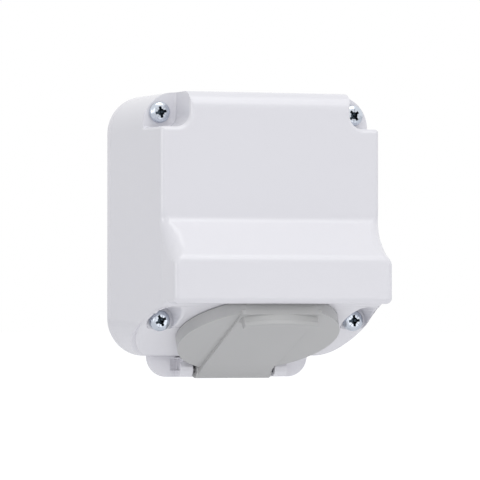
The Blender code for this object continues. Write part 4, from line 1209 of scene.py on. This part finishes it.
# Finger tab across the band's front end, a bead along its edge and a hollow foot behind.
def fingerTab():
    front = lid["tabRadius"]
    rear = front - lid["tabThick"]
    top = lid["tabTop"]
    face = lid["bandTop"]
    foot = lid["tabFoot"]
    bead, out = lid["tabBead"]
    nose = front + out
    profile = [(rear - foot, lid["height"]), (front, lid["height"]), (front, bead - 0.12),
               (front + 0.04, bead), (nose - 0.1, bead + 0.12), (nose, bead + 0.32),
               (nose, top - 0.62), (nose - 0.1, top - 0.3), (nose - 0.35, top - 0.08),
               (nose - 0.7, top), (rear + 0.5, top), (rear + 0.15, top - 0.15), (rear, top - 0.5)]
    drop = top - 1.2 - face
    profile += [(rear - foot * (1.0 - cosine), face - 0.05 + drop * (1.0 - sine))
                for sine, cosine in quarterTurn(8)]
    ring = shift(turned(profile, 300), moved(y=lid["tabAxis"]))
    half = lid["tabHalf"]
    tab = combine(ring, ("INTERSECT", block((-half, 5.0, -3.0), (half, 45.0, 20.0))))

    def atEnds(edge):
        onEnd = all(abs(abs(vert.co.x) - half) < 0.01 for vert in edge.verts)
        return onEnd and max(vert.co.z for vert in edge.verts) > face + 0.4

    return roundEdges(tab, lid["tabEdge"], 3, atEnds, 60.0)


# Room for the coil under the band, and a slot for the leg that rides with the lid.
def springBay():
    y, z = -hinge["reach"], hinge["height"]
    radius = lid["bayRadius"]
    low = lid["bayLow"]
    length = lid["bayLength"]
    angles = [math.pi * k / 20 for k in range(21)]
    outline = [(y + radius * math.cos(angle), z + radius * math.sin(angle)) for angle in angles]
    outline += [(y - length, z), (y - length, low), (y + radius, low)]
    bay = pullRings([[(x, *point) for point in outline] for x in (-lid["bayHalf"], lid["bayHalf"])])
    half = spring["turns"] * spring["pitch"] / 2
    room = spring["wire"] / 2 + gap
    slotTop = z - spring["coilRadius"] + room + gap
    slot = block((half - room, y, -3.0), (half + room, y + spring["leg"], slotTop))
    return joinAll(bay, [slot])


def buildLid():
    height = lid["height"]
    form = roundEdges(lidDisc(0.0, 0.0, height), lid["edgeRound"], 6, above(height - 0.01), 60.0)
    toPin = atPin @ spunBy(math.pi / 2, "Y")
    knuckle = rod(lid["knuckleRadius"], -lid["knuckleHalf"], lid["knuckleHalf"], steps=72)
    shift(roundEdges(knuckle, lid["knuckleEdge"], 3, None, 60.0), toPin)
    form = joinAll(form, [bandForm(), knuckle])
    form = joinAll(form, [fingerTab()])
    top = height - lid["skin"]
    room = lidDisc(lid["rimWall"], -2 * past, top)
    reach = hinge["earInner"] + past
    hole = shift(rod(lid["pinHole"], -reach, reach, steps=40), toPin)
    form = cutAll(form, [room, springBay(), hole])
    width = lid["ribWidth"]
    low = top - lid["ribDrop"]
    root = top + lid["ribRoot"]
    ribs = []
    for radius in (lid["sealInner"] - gap - width, lid["sealOuter"] + gap):
        ribs.append(turned([(radius, low), (radius + width, low), (radius + width, root),
                            (radius, root)], 96))
    makePiece("socket_lid", joinAll(form, ribs), "grey_plastic", "lid", slanted)


def buildLidSeal():
    low = insert["collarTop"] + gap
    high = lid["height"] - lid["skin"] - gap
    inner = lid["sealInner"]
    outer = lid["sealOuter"]
    shoulder = low + lid["sealSag"]
    profile = [(inner, high), (inner, shoulder), ((inner + outer) / 2, low), (outer, shoulder),
               (outer, high)]
    form = roundEdges(turned(profile, 128), lid["sealEdge"], 3, None, 25.0)
    makePiece("lid_seal", form, "black_rubber", "lid", slanted)


# Hinge pin and torsion spring
spring = {
    "wire": 0.6,
    "coilRadius": 1.7,
    "turns": 8,
    "turnSteps": 32,
    "pitch": 0.72,
    "wireSides": 10,
    "leg": 6.8,
    "tail": -1.6,
    "movingTurns": 1,
}


def buildHingePin():
    low = -hinge["earOuter"] + hinge["blindWall"] + gap
    high = hinge["earOuter"] - hinge["pinShort"]
    pin = hinge["pinRadius"]
    form = turned([(0.0, low), (pin, low), (pin, high), (0.0, high)], 48)
    roundEdges(form, hinge["pinEdge"], 3, None, 60.0)
    makePiece("hinge_pin", form, "spring_steel", place=across)


# Coil of round wire about the pin, wound towards -x, with the verts at its start and its end.
def coilForm(startX, turns):
    middle = Vector((startX, -hinge["reach"], hinge["height"]))
    begin = middle + Vector((0.0, 0.0, -spring["coilRadius"]))
    maker = bmesh.new()
    start = bmesh.ops.create_circle(
        maker, cap_ends=False, segments=spring["wireSides"], radius=spring["wire"] / 2)["verts"]
    quarter = Matrix.Rotation(math.pi / 2, 3, "X")
    bmesh.ops.rotate(maker, cent=(0, 0, 0), matrix=quarter, verts=start)
    bmesh.ops.translate(maker, vec=begin, verts=start)
    slide = -spring["pitch"] / spring["turnSteps"]
    last = bmesh.ops.spin(
        maker, geom=maker.verts[:] + maker.edges[:], cent=middle, axis=(1, 0, 0),
        dvec=(slide, 0, 0), angle=-2 * math.pi * turns, steps=turns * spring["turnSteps"],
        use_merge=False)["geom_last"]
    return maker, set(start), set(item for item in last if isinstance(item, bmesh.types.BMVert))


# Pulls a straight leg from one end of the wire and closes both ends.
def pullLeg(maker, verts, offset):
    loop = [e for e in maker.edges if e.is_boundary and all(v in verts for v in e.verts)]
    geom = bmesh.ops.extrude_edge_only(maker, edges=loop)["geom"]
    fresh = [item for item in geom if isinstance(item, bmesh.types.BMVert)]
    bmesh.ops.translate(maker, vec=offset, verts=fresh)
    bmesh.ops.holes_fill(maker, edges=[e for e in maker.edges if e.is_boundary], sides=0)
    bmesh.ops.recalc_face_normals(maker, faces=maker.faces)
    return maker


# The last turn and its leg move with the lid, the rest stays with the housing.
def buildSpring():
    half = spring["turns"] * spring["pitch"] / 2
    low = hinge["height"] - spring["coilRadius"]
    underSkin = lid["height"] - lid["skin"] - gap - spring["wire"] / 2
    moving = spring["movingTurns"]
    maker, start, end = coilForm(half, moving)
    pullLeg(maker, start, (0.0, spring["leg"], underSkin - low))
    makePiece("lid_spring_leg", maker, "spring_steel", "lid", slanted, replacesNode=False)
    maker, start, end = coilForm(half - moving * spring["pitch"], spring["turns"] - moving)
    pullLeg(maker, end, (0.0, spring["tail"], 0.0))
    makePiece("lid_spring", maker, "spring_steel", place=slanted)


# Stage

view = {
    "azimuth": -20.0,
    "elevation": -1.18,
    "distance": 1618.7,
    "lens": 308.8,
    "slide": (-4.61, -5.76),   # target across and up the picture
    "middle": (0.0, -30.0, 0.0),
}


def buildCamera():
    azimuth = math.radians(view["azimuth"])
    elevation = math.radians(view["elevation"])
    level = math.cos(elevation)
    back = Vector((math.sin(azimuth) * level, -math.cos(azimuth) * level, math.sin(elevation)))
    right = Vector((math.cos(azimuth), math.sin(azimuth), 0.0))
    up = back.cross(right)
    target = right * view["slide"][0] + up * view["slide"][1] + Vector(view["middle"])
    data = bpy.data.cameras.new("photoCamera")
    data.lens = view["lens"]
    data.sensor_width = 36.0
    data.clip_start = 0.01
    data.clip_end = 50.0
    camera = bpy.data.objects.new("photoCamera", data)
    axes = Matrix((right, up, back)).transposed().to_4x4()
    camera.matrix_world = Matrix.Translation((target + back * view["distance"]) * mm) @ axes
    bpy.context.scene.collection.objects.link(camera)
    bpy.context.scene.camera = camera


studio = {
    "floorLevel": -0.14,
    "floorHalf": 60.0,
    "floorGlow": 0.5,
    "floorColour": (0.93, 0.93, 0.94, 1.0),
    "worldLight": 0.66,
    "worldColour": (0.97, 0.98, 1.0, 1.0),
    "lamps": (
        # name, place, size, power, seen in the gloss alone
        ("topLamp", (0.1, -0.55, 1.6), 1.2, 8.8, False),
        ("frontLamp", (-0.7, -1.9, 0.4), 1.0, 2.6, False),
        ("lowLamp", (0.2, -0.6, -0.11), 0.25, 0.12, False),
        ("slopeLamp", (0.36, -1.0, 1.06), 0.6, 2.0, True),
        ("edgeLamp", (-1.4, -0.5, 0.15), 0.6, 4.0, True),
    ),
}


def buildLamps():
    for name, place, size, power, onlyShine in studio["lamps"]:
        data = bpy.data.lights.new(name, "AREA")
        data.shape = "DISK"
        data.size = size
        data.energy = power
        lamp = bpy.data.objects.new(name, data)
        lamp.location = place
        lamp.visible_diffuse = not onlyShine
        lamp.rotation_euler = (-Vector(place)).to_track_quat("-Z", "Y").to_euler()
        bpy.context.scene.collection.objects.link(lamp)


# Plain white where it is seen, straight, mirrored or through a piece, and dimmer as a light.
def buildWorld():
    world = bpy.data.worlds.new("studioWorld")
    bpy.context.scene.world = world
    world.use_nodes = True
    nodes = world.node_tree.nodes
    nodes.clear()
    output = nodes.new("ShaderNodeOutputWorld")
    seen = nodes.new("ShaderNodeBackground")
    soft = nodes.new("ShaderNodeBackground")
    mix = nodes.new("ShaderNodeMixShader")
    path = nodes.new("ShaderNodeLightPath")
    direct = nodes.new("ShaderNodeMath")
    direct.operation = "MAXIMUM"
    anySeen = nodes.new("ShaderNodeMath")
    anySeen.operation = "MAXIMUM"
    seen.inputs["Color"].default_value = (1.0, 1.0, 1.0, 1.0)
    seen.inputs["Strength"].default_value = 1.0
    soft.inputs["Color"].default_value = studio["worldColour"]
    soft.inputs["Strength"].default_value = studio["worldLight"]
    connect(
        world.node_tree,
        (path, "Is Camera Ray", direct, 0), (path, "Is Glossy Ray", direct, 1),
        (direct, 0, anySeen, 0), (path, "Is Transmission Ray", anySeen, 1),
        (anySeen, 0, mix, 0), (soft, 0, mix, 1), (seen, 0, mix, 2), (mix, 0, output, 0))


# White for the camera, yet the object's shadow still darkens it. From below it isn't seen.
def makeFloorMaterial():
    material = bpy.data.materials.new("paleFloor")
    material.use_nodes = True
    nodes = material.node_tree.nodes
    nodes.clear()
    output = nodes.new("ShaderNodeOutputMaterial")
    matt = nodes.new("ShaderNodeBsdfDiffuse")
    glow = nodes.new("ShaderNodeEmission")
    path = nodes.new("ShaderNodeLightPath")
    total = nodes.new("ShaderNodeAddShader")
    mix = nodes.new("ShaderNodeMixShader")
    clear = nodes.new("ShaderNodeBsdfTransparent")
    geometry = nodes.new("ShaderNodeNewGeometry")
    sides = nodes.new("ShaderNodeMixShader")
    matt.inputs["Color"].default_value = studio["floorColour"]
    glow.inputs["Strength"].default_value = studio["floorGlow"]
    connect(
        material.node_tree,
        (matt, 0, total, 0), (glow, 0, total, 1), (path, "Is Camera Ray", mix, 0),
        (matt, 0, mix, 1), (total, 0, mix, 2), (geometry, "Backfacing", sides, 0),
        (mix, 0, sides, 1), (clear, 0, sides, 2), (sides, 0, output, 0))
    return material


def buildFloor():
    maker = bmesh.new()
    bmesh.ops.create_grid(maker, x_segments=8, y_segments=8, size=studio["floorHalf"])
    bmesh.ops.translate(maker, vec=(0.0, 0.0, studio["floorLevel"]), verts=maker.verts)
    mesh = bpy.data.meshes.new("paleFloor")
    maker.to_mesh(mesh)
    maker.free()
    mesh.materials.append(makeFloorMaterial())
    floor = bpy.data.objects.new("paleFloor", mesh)
    bpy.context.scene.collection.objects.link(floor)


buildCamera()
buildLamps()
buildWorld()
buildFloor()
print("stage ready")

buildBackBox()
buildFrontCover()
buildCoverGasket()
buildGrommet()
buildCoverScrews()
buildSocketCup()
buildFlangeGasket()
buildInsertScrews()
buildInnerCopies()
buildHingePin()
buildSpring()
buildLid()
buildLidSeal()

bpy.context.scene.view_settings.view_transform = "Standard"
